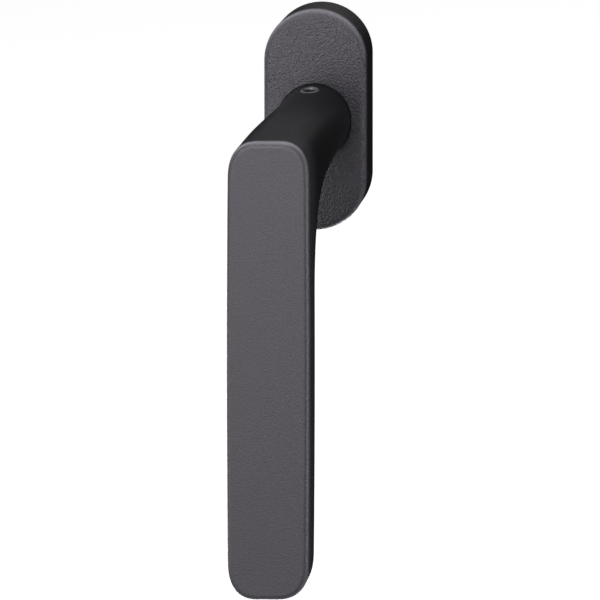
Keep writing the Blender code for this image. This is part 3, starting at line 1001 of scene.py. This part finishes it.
@dataclass
class Workshop:
    """The rules that more than one sub-assembly uses."""

    turned: TurnedRule = field(default_factory=TurnedRule)
    cap: CapRule = field(default_factory=CapRule)
    copies: ScatterRule = field(default_factory=ScatterRule)

    def turn(
        self,
        profile: Sequence[tuple[float, ...]],
        finish: Finish,
        columns: int = 64,
        depth: float = 0.0,
        pitch: float = 1.0,
    ) -> Solid:
        """A turned part on the spindle axis.

        Args:
            profile: Points of (radius, reach) or (radius, reach, thread share).
            finish: Its finish.
            columns: Steps round.
            depth: Depth of the thread.
            pitch: Pitch of the thread.

        Returns:
            The solid.
        """
        points = [(p[0], p[1], p[2] if len(p) > 2 else 0.0) for p in profile]
        values = {
            "Columns": columns,
            "Thread Depth": depth,
            "Thread Pitch": pitch,
            "Material": finish.material(),
        }
        return self.turned.run(point_mesh(points), values)


# ---------------------------------------------------------------- the lever


def fade(start: float, end: float, value: np.ndarray | float) -> np.ndarray:
    """A smooth step from 0 at start to 1 at end."""
    t = np.clip((value - start) / (end - start), 0.0, 1.0)
    return t * t * (3.0 - 2.0 * t)


def rounded(
    a: np.ndarray, b: np.ndarray, radius_a: object, radius_b: object, power: object = 2.0
) -> np.ndarray:
    """Joins two limits, each negative inside, with a rounded corner between them.

    Args:
        a: Distance past the first limit.
        b: Distance past the second.
        radius_a: Size of the corner across the first limit.
        radius_b: Size of the corner across the second.
        power: Two for an ellipse, more for a squarer corner.

    Returns:
        The joined limit, negative inside, and close to a distance near its surface.
    """
    bend_a = np.maximum(a / radius_a + 1.0, 1e-6)
    bend_b = np.maximum(b / radius_b + 1.0, 1e-6)
    total = bend_a**power + bend_b**power
    curve = total ** (1.0 / power) - 1.0
    steep = np.hypot(bend_a ** (power - 1.0) / radius_a, bend_b ** (power - 1.0) / radius_b)
    steep = steep * total ** (1.0 / power - 1.0)
    near = (a > -radius_a) & (b > -radius_b)
    return np.where(near, curve / steep, np.maximum(a, b))


@dataclass
class Grip:
    """Neck and grip in one moulding, with the set screw's hole on top of the neck.

    Its surface is where a smooth limit function of x, reach and z is zero. A coarse skin
    is remeshed evenly, and its points are then moved onto that surface.
    """

    neck_radius: float = 11.7
    neck_back: float = 7.6
    top: float = 11.45
    bottom: float = -125.9
    front: float = 61.9
    thickness: float = 12.85
    half_middle: float = 12.55
    half_end: float = 12.15
    corner: Point = (9.5, 11.5)
    corner_power: float = 2.5
    front_edge: float = 1.9
    front_depth: float = 1.5
    back_round: float = 7.6
    blend: Point = (16.5, 50.0)
    hub: Point = (26.0, -38.0)
    fillet: tuple[Point, ...] = ((24.5, -11.7), (36.7, -11.7), (49.05, -5.0), (49.05, -35.0))
    voxel: float = 0.40
    screw_reach: float = 15.0
    screw_hole: float = 2.95
    bore: float = 7.15
    bore_end: float = 30.2

    def __post_init__(self) -> None:
        """Works out the curve under the neck, once."""
        t = np.linspace(0.0, 1.0, 900)[:, None]
        a, b, c, d = (np.array(point) for point in self.fillet)
        curve = (1 - t) ** 3 * a + 3 * (1 - t) ** 2 * t * b + 3 * (1 - t) * t**2 * c + t**3 * d
        arms = curve - np.array(self.hub)
        self.angles = np.arctan2(arms[:, 1], arms[:, 0])[::-1]
        self.radii = np.hypot(arms[:, 0], arms[:, 1])[::-1]

    def underside(self, reach: np.ndarray, z: np.ndarray) -> np.ndarray:
        """How far a point is past the neck's underside and the grip's back."""
        right, up = reach - self.hub[0], z - self.hub[1]
        angle = np.arctan2(up, right)
        curve = np.interp(angle, self.angles, self.radii)
        back = self.front - self.thickness - reach
        bend = curve - np.hypot(right, up)
        below = (right > 0.0) & (angle < self.angles[0])
        return np.where(right < 0.0, -self.neck_radius - z, np.where(below, back, bend))

    def limit(self, x: np.ndarray, reach: np.ndarray, z: np.ndarray) -> np.ndarray:
        """Negative inside the moulding, zero on its surface."""
        share = fade(*self.blend, reach)
        height = np.clip((z - self.bottom) / (self.top - self.bottom), 0.0, 1.0)
        bar = self.half_middle - (self.half_middle - self.half_end) * (2.0 * height - 1.0) ** 2
        side = np.abs(x) - (self.neck_radius + (bar - self.neck_radius) * share)
        top = z - (self.neck_radius + (self.top - self.neck_radius) * share)
        radii = [self.neck_radius + (size - self.neck_radius) * share for size in self.corner]
        power = 2.0 + (self.corner_power - 2.0) * share
        upper = rounded(side, top, radii[0], radii[1], power)
        lower = rounded(side, self.bottom - z, *self.corner, self.corner_power)
        outline = np.maximum(upper, lower)
        outer = rounded(outline, reach - self.front, self.front_edge, self.front_depth)
        radius = self.neck_radius + (self.back_round - self.neck_radius) * share
        under = rounded(lower, self.underside(reach, z), radius, radius)
        return np.maximum(outer, under)

    def slope(self, points: np.ndarray, step: float = 0.004) -> tuple[np.ndarray, np.ndarray]:
        """The limit and its gradient at points of (x, reach, z)."""
        here = self.limit(*points.T)
        parts = []
        for axis in range(3):
            move = np.zeros(3)
            move[axis] = step
            ahead, behind = self.limit(*(points + move).T), self.limit(*(points - move).T)
            parts.append((ahead - behind) / (2 * step))
        return here, np.stack(parts, axis=1)

    def snapped(self, points: np.ndarray, rounds: int = 8) -> np.ndarray:
        """Points moved onto the surface."""
        for _ in range(rounds):
            value, slope = self.slope(points)
            scale = np.maximum((slope**2).sum(axis=1), 0.2)
            step = np.clip(value / scale, -0.6, 0.6)
            points = points - slope * step[:, None]
        return points

    def coarse(self) -> Solid:
        """A coarse skin: a bar for the grip and a column for the neck."""
        neck = Solid.prism(circle(self.neck_radius, 48), self.neck_back - 2.0, self.front - 3.0)
        middle = (self.top + self.bottom) / 2
        outline = box(self.half_middle, (self.top - self.bottom) / 2, (0.0, middle), self.corner[0])
        bar = Solid.prism(outline, self.front - self.thickness, self.front)
        knee = [(26.0, -5.0), (30.0, -11.2), (38.0, -12.5), (45.0, -17.0), (49.0, -28.0), (50.0, -36.0)]
        wedge = Solid.slab([*knee, (56.0, -36.0), (56.0, 0.0)], -10.8, 10.8)
        return neck.combined([bar, wedge], "UNION")

    def even_skin(self) -> Solid:
        """The coarse skin, remeshed evenly and moved onto the surface."""
        carrier = self.coarse()._object("scratch_grip")
        step = carrier.modifiers.new("even", "REMESH")
        step.mode, step.voxel_size = "VOXEL", self.voxel
        mesh = evaluated_mesh(carrier)
        bpy.data.objects.remove(carrier, do_unlink=True)
        flat = np.empty(len(mesh.vertices) * 3)
        mesh.vertices.foreach_get("co", flat)
        points = flat.reshape(-1, 3)[:, (0, 1, 2)] * (1, -1, 1)
        behind = points[:, 1] < self.neck_back
        placed = self.snapped(points)
        placed[behind, 1] = points[behind, 1]
        mesh.vertices.foreach_set("co", (placed * (1, -1, 1)).ravel())
        made = Solid()
        made.bm.from_mesh(mesh)
        bpy.data.meshes.remove(mesh)
        return made

    def screw_sink(self, rule: Workshop) -> Solid:
        """The hole for the set screw, with its countersink, as a cutter."""
        radius, top = self.screw_hole, self.neck_radius
        profile = [
            (0.0, 0.0),
            (radius, 0.0),
            (radius, top - 0.6),
            (radius + 0.12, top - 0.35),
            (radius + 0.6, top + 0.35),
            (radius + 0.6, top + 2.0),
            (0.0, top + 2.0),
        ]
        tool = rule.turn(profile, POLYAMIDE, 72)
        return tool.turned(-90.0, "X").moved(reach=self.screw_reach)

    def build(self, rule: Workshop) -> None:
        """Builds the moulding and puts it on the lever."""
        body = self.even_skin()
        bore = Solid.prism(circle(self.bore), 3.0, self.bore_end)
        end = Solid.prism(box(20.0, 20.0), 2.0, self.neck_back)
        body.combined([bore, end, self.screw_sink(rule)])
        mesh = body.mesh("grip_moulding")
        self.smooth_normals(mesh)
        add_piece("grip_moulding", mesh, POLYAMIDE, LEVER, ["grip"])

    def smooth_normals(self, mesh: bpy.types.Mesh) -> None:
        """Gives the corners on the outer surface the surface's own normals, and writes where the highlights
        and the light on the grip's sides are painted.
        """
        count = len(mesh.loops)
        corner = np.empty(count * 3)
        mesh.corner_normals.foreach_get("vector", corner)
        corner = corner.reshape(-1, 3)
        index = np.empty(count, dtype=np.int32)
        mesh.loops.foreach_get("vertex_index", index)
        flat = np.empty(len(mesh.vertices) * 3)
        mesh.vertices.foreach_get("co", flat)
        points = flat.reshape(-1, 3) / MM * (1, -1, 1)
        value, slope = self.slope(points)
        exact = slope * (1, -1, 1)
        exact /= np.maximum(np.linalg.norm(exact, axis=1), 1e-9)[:, None]
        near = (np.abs(value) < 0.02)[index] & ((exact[index] * corner).sum(axis=1) > 0.93)
        corner[near] = exact[index][near]
        mesh.normals_split_custom_set([tuple(n) for n in corner])
        # Painted light: a pale band round the front fillet as a highlight, and the grip's sides lightened,
        # fading out 9 mm behind the front.
        behind = self.front - self.front_depth - points[:, 1]
        sides = 0.26 * exact[:, 0] ** 2 * np.clip(1.0 - behind / 9.0, 0.0, 1.0)
        mark_edges(mesh, np.where(behind < 0.3, np.maximum(painted_highlight_share(exact), sides), sides))


@dataclass
class SetScrew:
    """The socket screw that clamps the spindle, seen in the neck's top."""

    radius: float = 2.95
    bottom: float = 3.65
    top: float = 11.72
    ring: float = 0.5
    socket: float = 1.5
    socket_depth: float = 2.6
    pitch: float = 0.8
    reach: float = 15.0

    def profile(self) -> list[tuple[float, float, float]]:
        """The turned profile, with rows close enough for the thread."""
        rows = [(0.0, self.bottom, 0.0), (self.radius - 0.8, self.bottom, 0.0)]
        rows.append((self.radius - 0.15, self.bottom + 0.6, 0.0))
        low, high = self.bottom + 0.7, self.top - 1.6
        for height in np.arange(low, high, self.pitch / 10):
            share = min(1.0, (height - low) / 0.8, (high - height) / 0.8)
            rows.append((self.radius, float(height), max(0.0, share)))
        lip = arc((self.radius - self.ring, self.top - self.ring), self.ring, 0, 180, 15)
        rows += [(x, y, 0.0) for x, y in lip]
        inside = self.radius - 2 * self.ring
        return [*rows, (inside - 0.1, self.top - 1.0, 0.0), (0.0, self.top - 1.0, 0.0)]

    def build(self, rule: Workshop) -> None:
        """Builds the screw and puts it on the lever."""
        screw = rule.turn(self.profile(), BLACK_STEEL, 56, 0.42, self.pitch)
        screw.turned(-90.0, "X").moved(reach=self.reach)
        corner = self.socket / math.cos(math.pi / 6)
        floor = self.top - self.socket_depth
        hexagon = circle(corner, 6)
        key = Solid.column(hexagon, self.reach, floor, self.top + 1.0)
        screw.combined([key])
        mesh = screw.mesh("socket_set_screw")
        points, _ = vertex_frame(mesh)
        # The screw's lip, which the finish makes paler grey.
        from_axis = np.hypot(points[:, 0], points[:, 1] + self.reach)
        lip = (points[:, 2] > self.top - self.ring - 0.01) & (from_axis > self.radius - 2 * self.ring - 0.01)
        mark_edges(mesh, lip.astype(float))
        add_piece("socket_set_screw", mesh, BLACK_STEEL, LEVER, ["set_screw"])


# ---------------------------------------------------------------- the cover


@dataclass
class Cover:
    """The stadium cap over the base, hollow behind, with a round hole for the neck."""

    width: float = 33.0
    height: float = 71.0
    back: float = 0.4
    front: float = 10.0
    wall: float = 2.0
    face: float = 1.6
    edge: float = 2.2
    hole: float = 11.85
    columns: int = 288

    def profile(self) -> list[tuple[float, float, float]]:
        """Points of inset, reach and share of the circle, once round the wall."""
        inner = self.front - self.face
        rows = [(x, y, 0.0) for x, y in arc((0.3, self.back + 0.3), 0.3, -90, -180, 3)]
        rows += [(0.0, y, 0.0) for y in np.linspace(self.back + 0.5, self.front - self.edge - 0.2, 5)]
        turned = arc((self.edge, self.front - self.edge), self.edge, 180, 90, 12)
        rows += [(x, y, 0.0) for x, y in turned]
        lip = 0.15
        rows += [(self.edge, self.front, share) for share in np.linspace(0.12, 0.97, 8)]
        rows += [
            (self.edge, self.front - lip * (1 - math.cos(a)), 1.0 - 0.025 * (1 - math.sin(a)))
            for a in np.linspace(0.0, math.pi / 2, 5)
        ]
        rows += [(self.edge, y, 1.0) for y in np.linspace(self.front - lip - 0.1, inner + 0.1, 3)]
        rows += [(self.wall + 0.5, inner, share) for share in np.linspace(1.0, 0.0, 5)]
        rows += [(x, y, 0.0) for x, y in arc((self.wall + 0.5, inner - 0.5), 0.5, 80, 180, 5)[::1]]
        rows += [(self.wall, y, 0.0) for y in np.linspace(inner - 1.0, self.back + 0.6, 4)]
        rows += [(x, y, 0.0) for x, y in arc((self.wall - 0.3, self.back + 0.3), 0.3, 0, -90, 3)]
        return rows

    def build(self, rule: Workshop) -> None:
        """Builds the cap and puts it on the cover body."""
        values = {
            "Columns": self.columns,
            "Width": self.width,
            "Height": self.height,
            "Hole Radius": self.hole,
            "Material": COVER_SKIN.material(),
        }
        cap = rule.cap.run(point_mesh(self.profile()), values)
        mesh = cap.mesh("rosette_cap")
        # Painted highlight: a pale band round the cap's front edge, kept off the hole.
        points, normals = vertex_frame(mesh)
        away = np.hypot(points[:, 0], points[:, 2]) > self.hole + 0.5
        near = away & (-points[:, 1] > self.front - self.edge - 0.05)
        mark_edges(mesh, painted_highlight_share(normals) * near)
        add_piece("rosette_cap", mesh, COVER_SKIN, COVER, ["cover"])


# ---------------------------------------------------------------- back and inner parts

SCREW_RISE = 21.5


@dataclass
class FixingScrews:
    """Two countersunk machine screws with a cross recess."""

    radius: float = 2.45
    tip: float = -28.5
    head_radius: float = 4.7
    head_start: float = 4.95
    head_front: float = 7.0
    top: float = 7.25
    pitch: float = 0.8
    depth: float = 0.46
    recess: Point = (2.35, 0.5)
    recess_back: float = 4.9

    def profile(self) -> list[tuple[float, float, float]]:
        """The turned profile: point, thread, run-out, shank, cone and head."""
        rows = [(0.0, self.tip, 0.0), (self.radius - 0.75, self.tip, 0.0)]
        low, high = self.tip + 0.7, 1.0
        rows.append((self.radius - 0.35, low - 0.3, 0.0))
        for reach in np.arange(low, high, self.pitch / 9):
            share = min(1.0, (reach - low) / 1.0 + 0.1, (high - reach) / 1.6)
            rows.append((self.radius, float(reach), max(0.0, share)))
        rows += [(self.radius, high + 0.2, 0.0), (self.radius, self.head_start - 0.2, 0.0)]
        rows += [(self.radius + 0.25, self.head_start + 0.1, 0.0)]
        rows += [(self.head_radius - 0.08, self.head_front - 0.08, 0.0)]
        rows += [(self.head_radius, self.head_front + 0.03, 0.0)]
        rows += [(self.head_radius - 0.03, self.top - 0.08, 0.0), (self.head_radius - 0.12, self.top, 0.0)]
        return [*rows, (3.0, self.top, 0.0), (0.0, self.top, 0.0)]

    def cross(self, z: float) -> Solid:
        """The tapered cross recess about a height."""
        long, short = self.recess
        outline = []
        for x, y in ((long, short), (short, short), (short, long)):
            outline.append((x, y))
        corners = [*outline]
        corners += [(-x, y) for x, y in reversed(outline)]
        corners += [(-x, -y) for x, y in outline]
        corners += [(x, -y) for x, y in reversed(outline)]
        placed = [(x, y + z) for x, y in corners]
        return Solid.tapered(placed, (self.recess_back, self.top + 1.0), (0.0, z), 0.55)

    def build(self, rule: Workshop) -> None:
        """Builds both screws and puts them on the base."""
        for name, side in (("upper", 1), ("lower", -1)):
            screw = rule.turn(self.profile(), SCREW_STEEL, 44, self.depth, self.pitch)
            screw.moved(z=side * SCREW_RISE).combined([self.cross(side * SCREW_RISE)])
            title = f"fixing_screw_{name}"
            add_piece(title, screw.mesh(title), SCREW_STEEL, BASE, [f"screw_{name}"])


@dataclass
class Lugs:
    """Two die-cast collars that sit in the holes of the sash."""

    back: float = -3.5
    front: float = 2.2
    radius: float = 5.0
    flange_radius: float = 6.0
    flange_back: float = 1.0
    bore: float = 2.7

    def profile(self) -> list[Point]:
        """The turned profile, with a lead at the back and a relief at the flange."""
        back, radius, flange = self.back, self.radius, self.flange_radius
        return [
            (self.bore, back + 0.45),
            *arc((self.bore + 0.45, back + 0.45), 0.45, 180, 270, 4)[1:],
            *arc((radius - 0.6, back + 0.6), 0.6, 270, 360, 6),
            (radius, -1.9),
            (radius - 0.12, -1.8),
            (radius - 0.12, -1.5),
            (radius, -1.4),
            (radius, self.flange_back - 0.35),
            (radius - 0.15, self.flange_back - 0.1),
            (radius + 0.1, self.flange_back),
            (flange - 0.15, self.flange_back),
            (flange, self.flange_back + 0.15),
            (flange, self.front - 0.15),
            (flange - 0.15, self.front),
            (self.bore + 0.3, self.front),
            (self.bore, self.front - 0.3),
        ]

    def build(self, rule: Workshop) -> None:
        """Builds both lugs and puts them on the base."""
        for name, side in (("upper", 1), ("lower", -1)):
            lug = rule.turn(self.profile(), CAST_ZINC, 80).moved(z=side * SCREW_RISE)
            title = f"sash_lug_{name}"
            add_piece(title, lug.mesh(title), CAST_ZINC, BASE, [f"lug_{name}"])


@dataclass
class Rivets:
    """Four rivets, headed in the front of the base and set flush in the plate."""

    spots: Point = (10.0, 14.6)
    shank: float = 1.2
    head: float = 2.1
    back: float = 0.05
    head_back: float = 6.7
    front: float = 7.25

    def profile(self) -> list[Point]:
        """The turned profile: a peened end, the shank and a low head."""
        crown = arc((0.0, self.front - 2.6), 2.6, 50, 90, 6)
        rows = [(0.0, self.back), (self.shank - 0.25, self.back), (self.shank + 0.1, self.back + 0.2)]
        rows += [(self.shank, self.back + 0.6), (self.shank, self.head_back - 0.1)]
        rows += [(self.shank + 0.1, self.head_back), (self.head - 0.1, self.head_back)]
        rows += [(self.head, self.head_back + 0.1), (self.head, self.head_back + 0.2)]
        return rows + [(x, max(y, self.head_back + 0.25)) for x, y in crown if x < self.head]

    def build(self, rule: Workshop) -> None:
        """Copies one rivet to the four spots and puts them on the base."""
        one = rule.turn(self.profile(), CAST_ZINC, 32)
        mesh = one.mesh("scratch_rivet")
        mesh.transform(Matrix.Scale(1 / MM, 4))
        pattern = bpy.data.objects.new("scratch_rivet", mesh)
        bpy.context.scene.collection.objects.link(pattern)
        x, z = self.spots
        points = [(sx * x, 0.0, sz * z) for sx in (-1, 1) for sz in (-1, 1)]
        values = {"Copy": pattern, "Material": CAST_ZINC.material()}
        four = rule.copies.run(point_mesh(points), values)
        bpy.data.objects.remove(pattern, do_unlink=True)
        nodes = [f"rivet_{i}" for i in range(1, 5)]
        add_piece("plate_rivets", four.mesh("plate_rivets"), CAST_ZINC, BASE, nodes)


@dataclass
class BackPlate:
    """The stamped steel plate at the back, with coined grooves round its edge and hole."""

    width: float = 25.0
    height: float = 63.0
    thickness: float = 0.8
    hole: float = 8.0
    lug_hole: float = 5.2
    rivet_hole: float = 1.35
    groove: Point = (1.5, 0.75)
    groove_depth: float = 0.16
    rivets: Point = (10.0, 14.6)

    def grooves(self) -> list[Solid]:
        """Cutters for the groove along the outline and the one round the hole."""
        inset, width = self.groove
        deep = self.groove_depth
        outer = Solid.prism(stadium(self.width - 2 * inset, self.height - 2 * inset), -1.0, deep)
        inner = inset + width
        core = Solid.prism(stadium(self.width - 2 * inner, self.height - 2 * inner), -2.0, 2.0)
        ring = Solid.prism(circle(self.hole + 2.1, 96), -1.0, deep)
        return [
            outer.combined([core]),
            ring.combined([Solid.prism(circle(self.hole + 1.2, 96), -2.0, 2.0)]),
        ]

    def holes(self) -> list[Solid]:
        """Cutters for the spindle, the lugs and the rivets, each with a small lead."""
        x, z = self.rivets
        spots = [(0.0, 0.0, self.hole, 96)]
        spots += [(0.0, side * SCREW_RISE, self.lug_hole, 72) for side in (-1, 1)]
        spots += [(sx * x, sz * z, self.rivet_hole, 36) for sx in (-1, 1) for sz in (-1, 1)]
        cutters = []
        for px, pz, radius, steps in spots:
            cutters.append(Solid.prism(circle(radius, steps, px, pz), -1.0, 2.0))
            wide = circle(radius + 0.5, steps, px, pz)
            cutters.append(Solid.tapered(wide, (0.25, -0.25), (px, pz), radius / (radius + 0.5)))
        return cutters

    def build(self) -> None:
        """Builds the plate and puts it on the base."""
        plate = Solid.prism(stadium(self.width, self.height), 0.0, self.thickness)
        plate.soften(rim(0.0), 0.14, 2).combined([*self.grooves(), *self.holes()])
        mesh = plate.mesh("stamped_back_plate")
        add_piece("stamped_back_plate", mesh, PLATE_STEEL, BASE, ["back_plate"])


@dataclass
class Spindle:
    """The square bar that turns the gear in the sash."""

    size: float = 7.0
    back: float = -32.0
    front: float = 26.5
    edge: float = 0.4
    lead: float = 0.8

    def build(self) -> None:
        """Builds the bar and puts it on the lever."""
        half = self.size / 2
        bar = Solid.prism(box(half, half, corner=self.edge), self.back, self.front)
        bar.soften(rim(self.back), self.lead, 2).soften(rim(self.front), 0.3, 1)
        add_piece("square_spindle", bar.mesh("square_spindle"), BAR_STEEL, LEVER, ["spindle"])


@dataclass
class Journal:
    """The turned sleeve in the neck, with a square bore, a ring groove and two flats."""

    radius: float = 7.0
    back: float = 0.3
    front: float = 30.0
    groove: Point = (0.85, 1.85)
    groove_radius: float = 6.5
    flats: tuple[float, float, float] = (6.5, 1.89, 4.4)
    bore: float = 3.65
    bore_end: float = 27.0
    screw_reach: float = 15.0
    screw_hole: float = 3.0

    def build(self, rule: Workshop) -> None:
        """Builds the sleeve and puts it on the lever."""
        radius, groove = self.radius, self.groove_radius
        profile = [
            (0.0, self.back),
            (radius - 0.5, self.back),
            *arc((radius - 0.5, self.back + 0.4), 0.4, -90, 0, 4)[1:],
            (radius - 0.1, self.groove[0]),
            (groove, self.groove[0]),
            (groove, self.groove[1]),
            (radius, self.groove[1]),
            (radius, self.front - 0.3),
            (radius - 0.3, self.front),
            (0.0, self.front),
        ]
        sleeve = rule.turn(profile, BAR_STEEL, 112)
        half, (flat, flat_back, flat_front) = self.bore, self.flats
        cutters = [Solid.prism(box(half, half, corner=0.35), -1.0, self.bore_end)]
        lead = [(x * 1.16, z * 1.16) for x, z in box(half, half, corner=0.35)]
        cutters.append(Solid.tapered(lead, (self.back + 0.55, self.back - 0.05), (0.0, 0.0), 0.86))
        for side in (-1, 1):
            cutters.append(Solid.prism(box(9.0, 2.0, (0.0, side * (flat + 2.0))), flat_back, flat_front))
        cutters.append(Solid.column(circle(self.screw_hole, 48), self.screw_reach, 1.0, 9.0))
        sleeve.combined(cutters)
        add_piece("neck_journal", sleeve.mesh("neck_journal"), BAR_STEEL, LEVER, ["neck_sleeve"])


# ---------------------------------------------------------------- carried-over nodes

NODE_FINISHES: dict[str, Finish] = {
    "base_plate": BASE_POLYMER,
    "back_plate": PLATE_STEEL,
    "bearing_bush": BRONZE,
    "detent_spring_left": SPRING,
    "detent_spring_right": SPRING,
    "screw_upper": SCREW_STEEL,
    "screw_lower": SCREW_STEEL,
    "lug_upper": CAST_ZINC,
    "lug_lower": CAST_ZINC,
    "rivet_1": CAST_ZINC,
    "rivet_2": CAST_ZINC,
    "rivet_3": CAST_ZINC,
    "rivet_4": CAST_ZINC,
    "cover_clip_upper": SPRING,
    "cover_clip_lower": SPRING,
    "cover_guide_ring": ACETAL,
    "steel_core": BAR_STEEL,
    "neck_sleeve": BAR_STEEL,
    "spindle": BAR_STEEL,
    "detent_cam": ACETAL,
    "retaining_ring": SPRING,
    "thrust_washer": ACETAL,
}


def dress_nodes() -> None:
    """Gives every node that stays in view its finish."""
    for name, finish in NODE_FINISHES.items():
        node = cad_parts[name]
        if node.hide_render:
            continue
        for slot in node.material_slots:
            slot.material = finish.material()


# ---------------------------------------------------------------- studio


@dataclass
class Camera:
    """A view camera: its picture plane is parallel to the window, its axis is oblique."""

    right: float = 213.16
    height: float = 271.25
    distance: float = 800.4
    target: tuple[float, float, float] = (-4.955, 8.4, -57.92)
    scale: float = 3.12

    def build(self) -> None:
        """Makes the camera on a mount that leans its axis."""
        eye = Vector((self.right, -self.distance, self.height)) * MM
        aim = Vector((self.target[0], -self.target[1], self.target[2])) * MM
        back = eye - aim
        length = back.length / MM
        back.normalize()
        data = bpy.data.cameras.new("view_camera")
        data.lens = data.sensor_width * self.scale * length / 600.0
        data.clip_start, data.clip_end = 0.05, 50.0
        camera = bpy.data.objects.new("view_camera", data)
        mount = bpy.data.objects.new("camera_mount", None)
        for item in (camera, mount):
            bpy.context.scene.collection.objects.link(item)
        camera.parent = mount
        camera.matrix_parent_inverse = Matrix(
            (
                (1.0, 0.0, back.x, eye.x),
                (0.0, 0.0, back.y, eye.y),
                (0.0, 1.0, back.z, eye.z),
                (0.0, 0.0, 0.0, 1.0),
            )
        )
        bpy.context.scene.camera = camera


@dataclass
class SoftBox:
    """One square soft light, aimed at the handle from a distance.

    Azimuth is 0 in front and positive to the right, elevation is above the horizon, both
    in degrees. Radiance is the brightness of the box's face.
    """

    name: str
    azimuth: float
    elevation: float
    radiance: float
    colour: Colour = (1.0, 0.97, 1.06)
    side: float = 0.6
    distance: float = 1.3
    centre: tuple[float, float, float] = (0.0, -0.03, -0.04)

    def build(self) -> None:
        """Makes the light, turned towards the handle."""
        data = bpy.data.lights.new(self.name, "AREA")
        data.shape, data.size = "SQUARE", self.side
        data.energy, data.color = self.radiance * math.pi * self.side**2, self.colour
        turn, rise = math.radians(self.azimuth), math.radians(self.elevation)
        out = Vector(
            (math.sin(turn) * math.cos(rise), -math.cos(turn) * math.cos(rise), math.sin(rise))
        )
        light = bpy.data.objects.new(self.name, data)
        light.location = Vector(self.centre) + out * self.distance
        light.rotation_euler = (-out).to_track_quat("-Z", "Y").to_euler()
        bpy.context.scene.collection.objects.link(light)


@dataclass
class Studio:
    """Pale floor, white surroundings and soft lights."""

    floor_height: float = -0.42
    boxes: tuple[SoftBox, ...] = (
        SoftBox("front_box", 0.0, 5.0, 4.6),
        SoftBox("front_left_box", -25.0, 5.0, 6.3),
        SoftBox("front_low_box", 0.0, -20.0, 2.0),
        SoftBox("front_left_low_box", -25.0, -20.0, 1.7),
        SoftBox("left_low_box", -55.0, -20.0, 2.8),
        SoftBox("right_low_box", 55.0, -20.0, 6.2),
        SoftBox("upper_box", -12.0, 50.0, 3.4),
        SoftBox("overhead_box", 0.0, 76.0, 1.2),
        SoftBox("rear_upper_box", 180.0, 50.0, 0.9, (1.0, 1.0, 1.0)),
        SoftBox("rear_box", 180.0, 20.0, 0.25, (1.0, 1.0, 1.0)),
        SoftBox("rear_low_box", -170.0, -50.0, 5.0, (1.0, 1.0, 1.0)),
        SoftBox("rear_low_left_box", -135.0, -35.0, 6.5, (1.0, 1.0, 1.0)),
        SoftBox("rear_left_box", -150.0, 30.0, 0.25, (1.0, 1.0, 1.0)),
        SoftBox("rear_right_box", 150.0, 30.0, 0.35, (1.0, 1.0, 1.0)),
    )

    def build(self) -> None:
        """Makes the floor, the world and the lights."""
        bpy.context.scene.view_settings.view_transform = "Standard"
        self.build_floor()
        self.build_world()
        for light in self.boxes:
            light.build()

    def build_floor(self) -> None:
        """A wide pale floor that glows a little, so that it stays pale far away."""
        bm = bmesh.new()
        bmesh.ops.create_grid(bm, x_segments=1, y_segments=1, size=8.0)
        mesh = bpy.data.meshes.new("studio_floor")
        bm.to_mesh(mesh)
        bm.free()
        mesh.transform(Matrix.Translation((0.0, 0.0, self.floor_height)))
        material = bpy.data.materials.new("pale_floor")
        material.use_nodes = True
        shader = material.node_tree.nodes["Principled BSDF"]
        shader.inputs["Base Color"].default_value = (0.8, 0.8, 0.8, 1.0)
        shader.inputs["Roughness"].default_value = 0.9
        shader.inputs["Emission Color"].default_value = (1.0, 1.0, 1.0, 1.0)
        shader.inputs["Emission Strength"].default_value = 0.92
        mesh.materials.append(material)
        floor = bpy.data.objects.new("studio_floor", mesh)
        floor.visible_diffuse = floor.visible_glossy = False
        bpy.context.scene.collection.objects.link(floor)

    def build_world(self) -> None:
        """White surroundings for the eye, a dim glow for the object."""
        world = bpy.data.worlds.new("studio_world")
        world.use_nodes = True
        bpy.context.scene.world = world
        tree = Tree(world.node_tree)
        world.node_tree.nodes.clear()
        seen = tree.term("ShaderNodeLightPath", "Is Camera Ray")
        strength = 0.01 + seen * 1.0
        glow = tree.term("ShaderNodeBackground", 0, None, {0: (1.0, 1.0, 1.0, 1.0), 1: strength})
        tree.node("ShaderNodeOutputWorld", None, {0: glow})


def main() -> None:
    """Builds the camera, the studio and every sub-assembly in order."""
    logging.basicConfig(level=logging.INFO, format="%(message)s")
    Camera().build()
    Studio().build()
    rule = Workshop()
    for part in (Grip(), SetScrew(), Journal(), Cover(), FixingScrews(), Lugs(), Rivets()):
        part.build(rule)
    for part in (Spindle(), BackPlate()):
        part.build()
    dress_nodes()


if __name__ == "__main__":
    main()
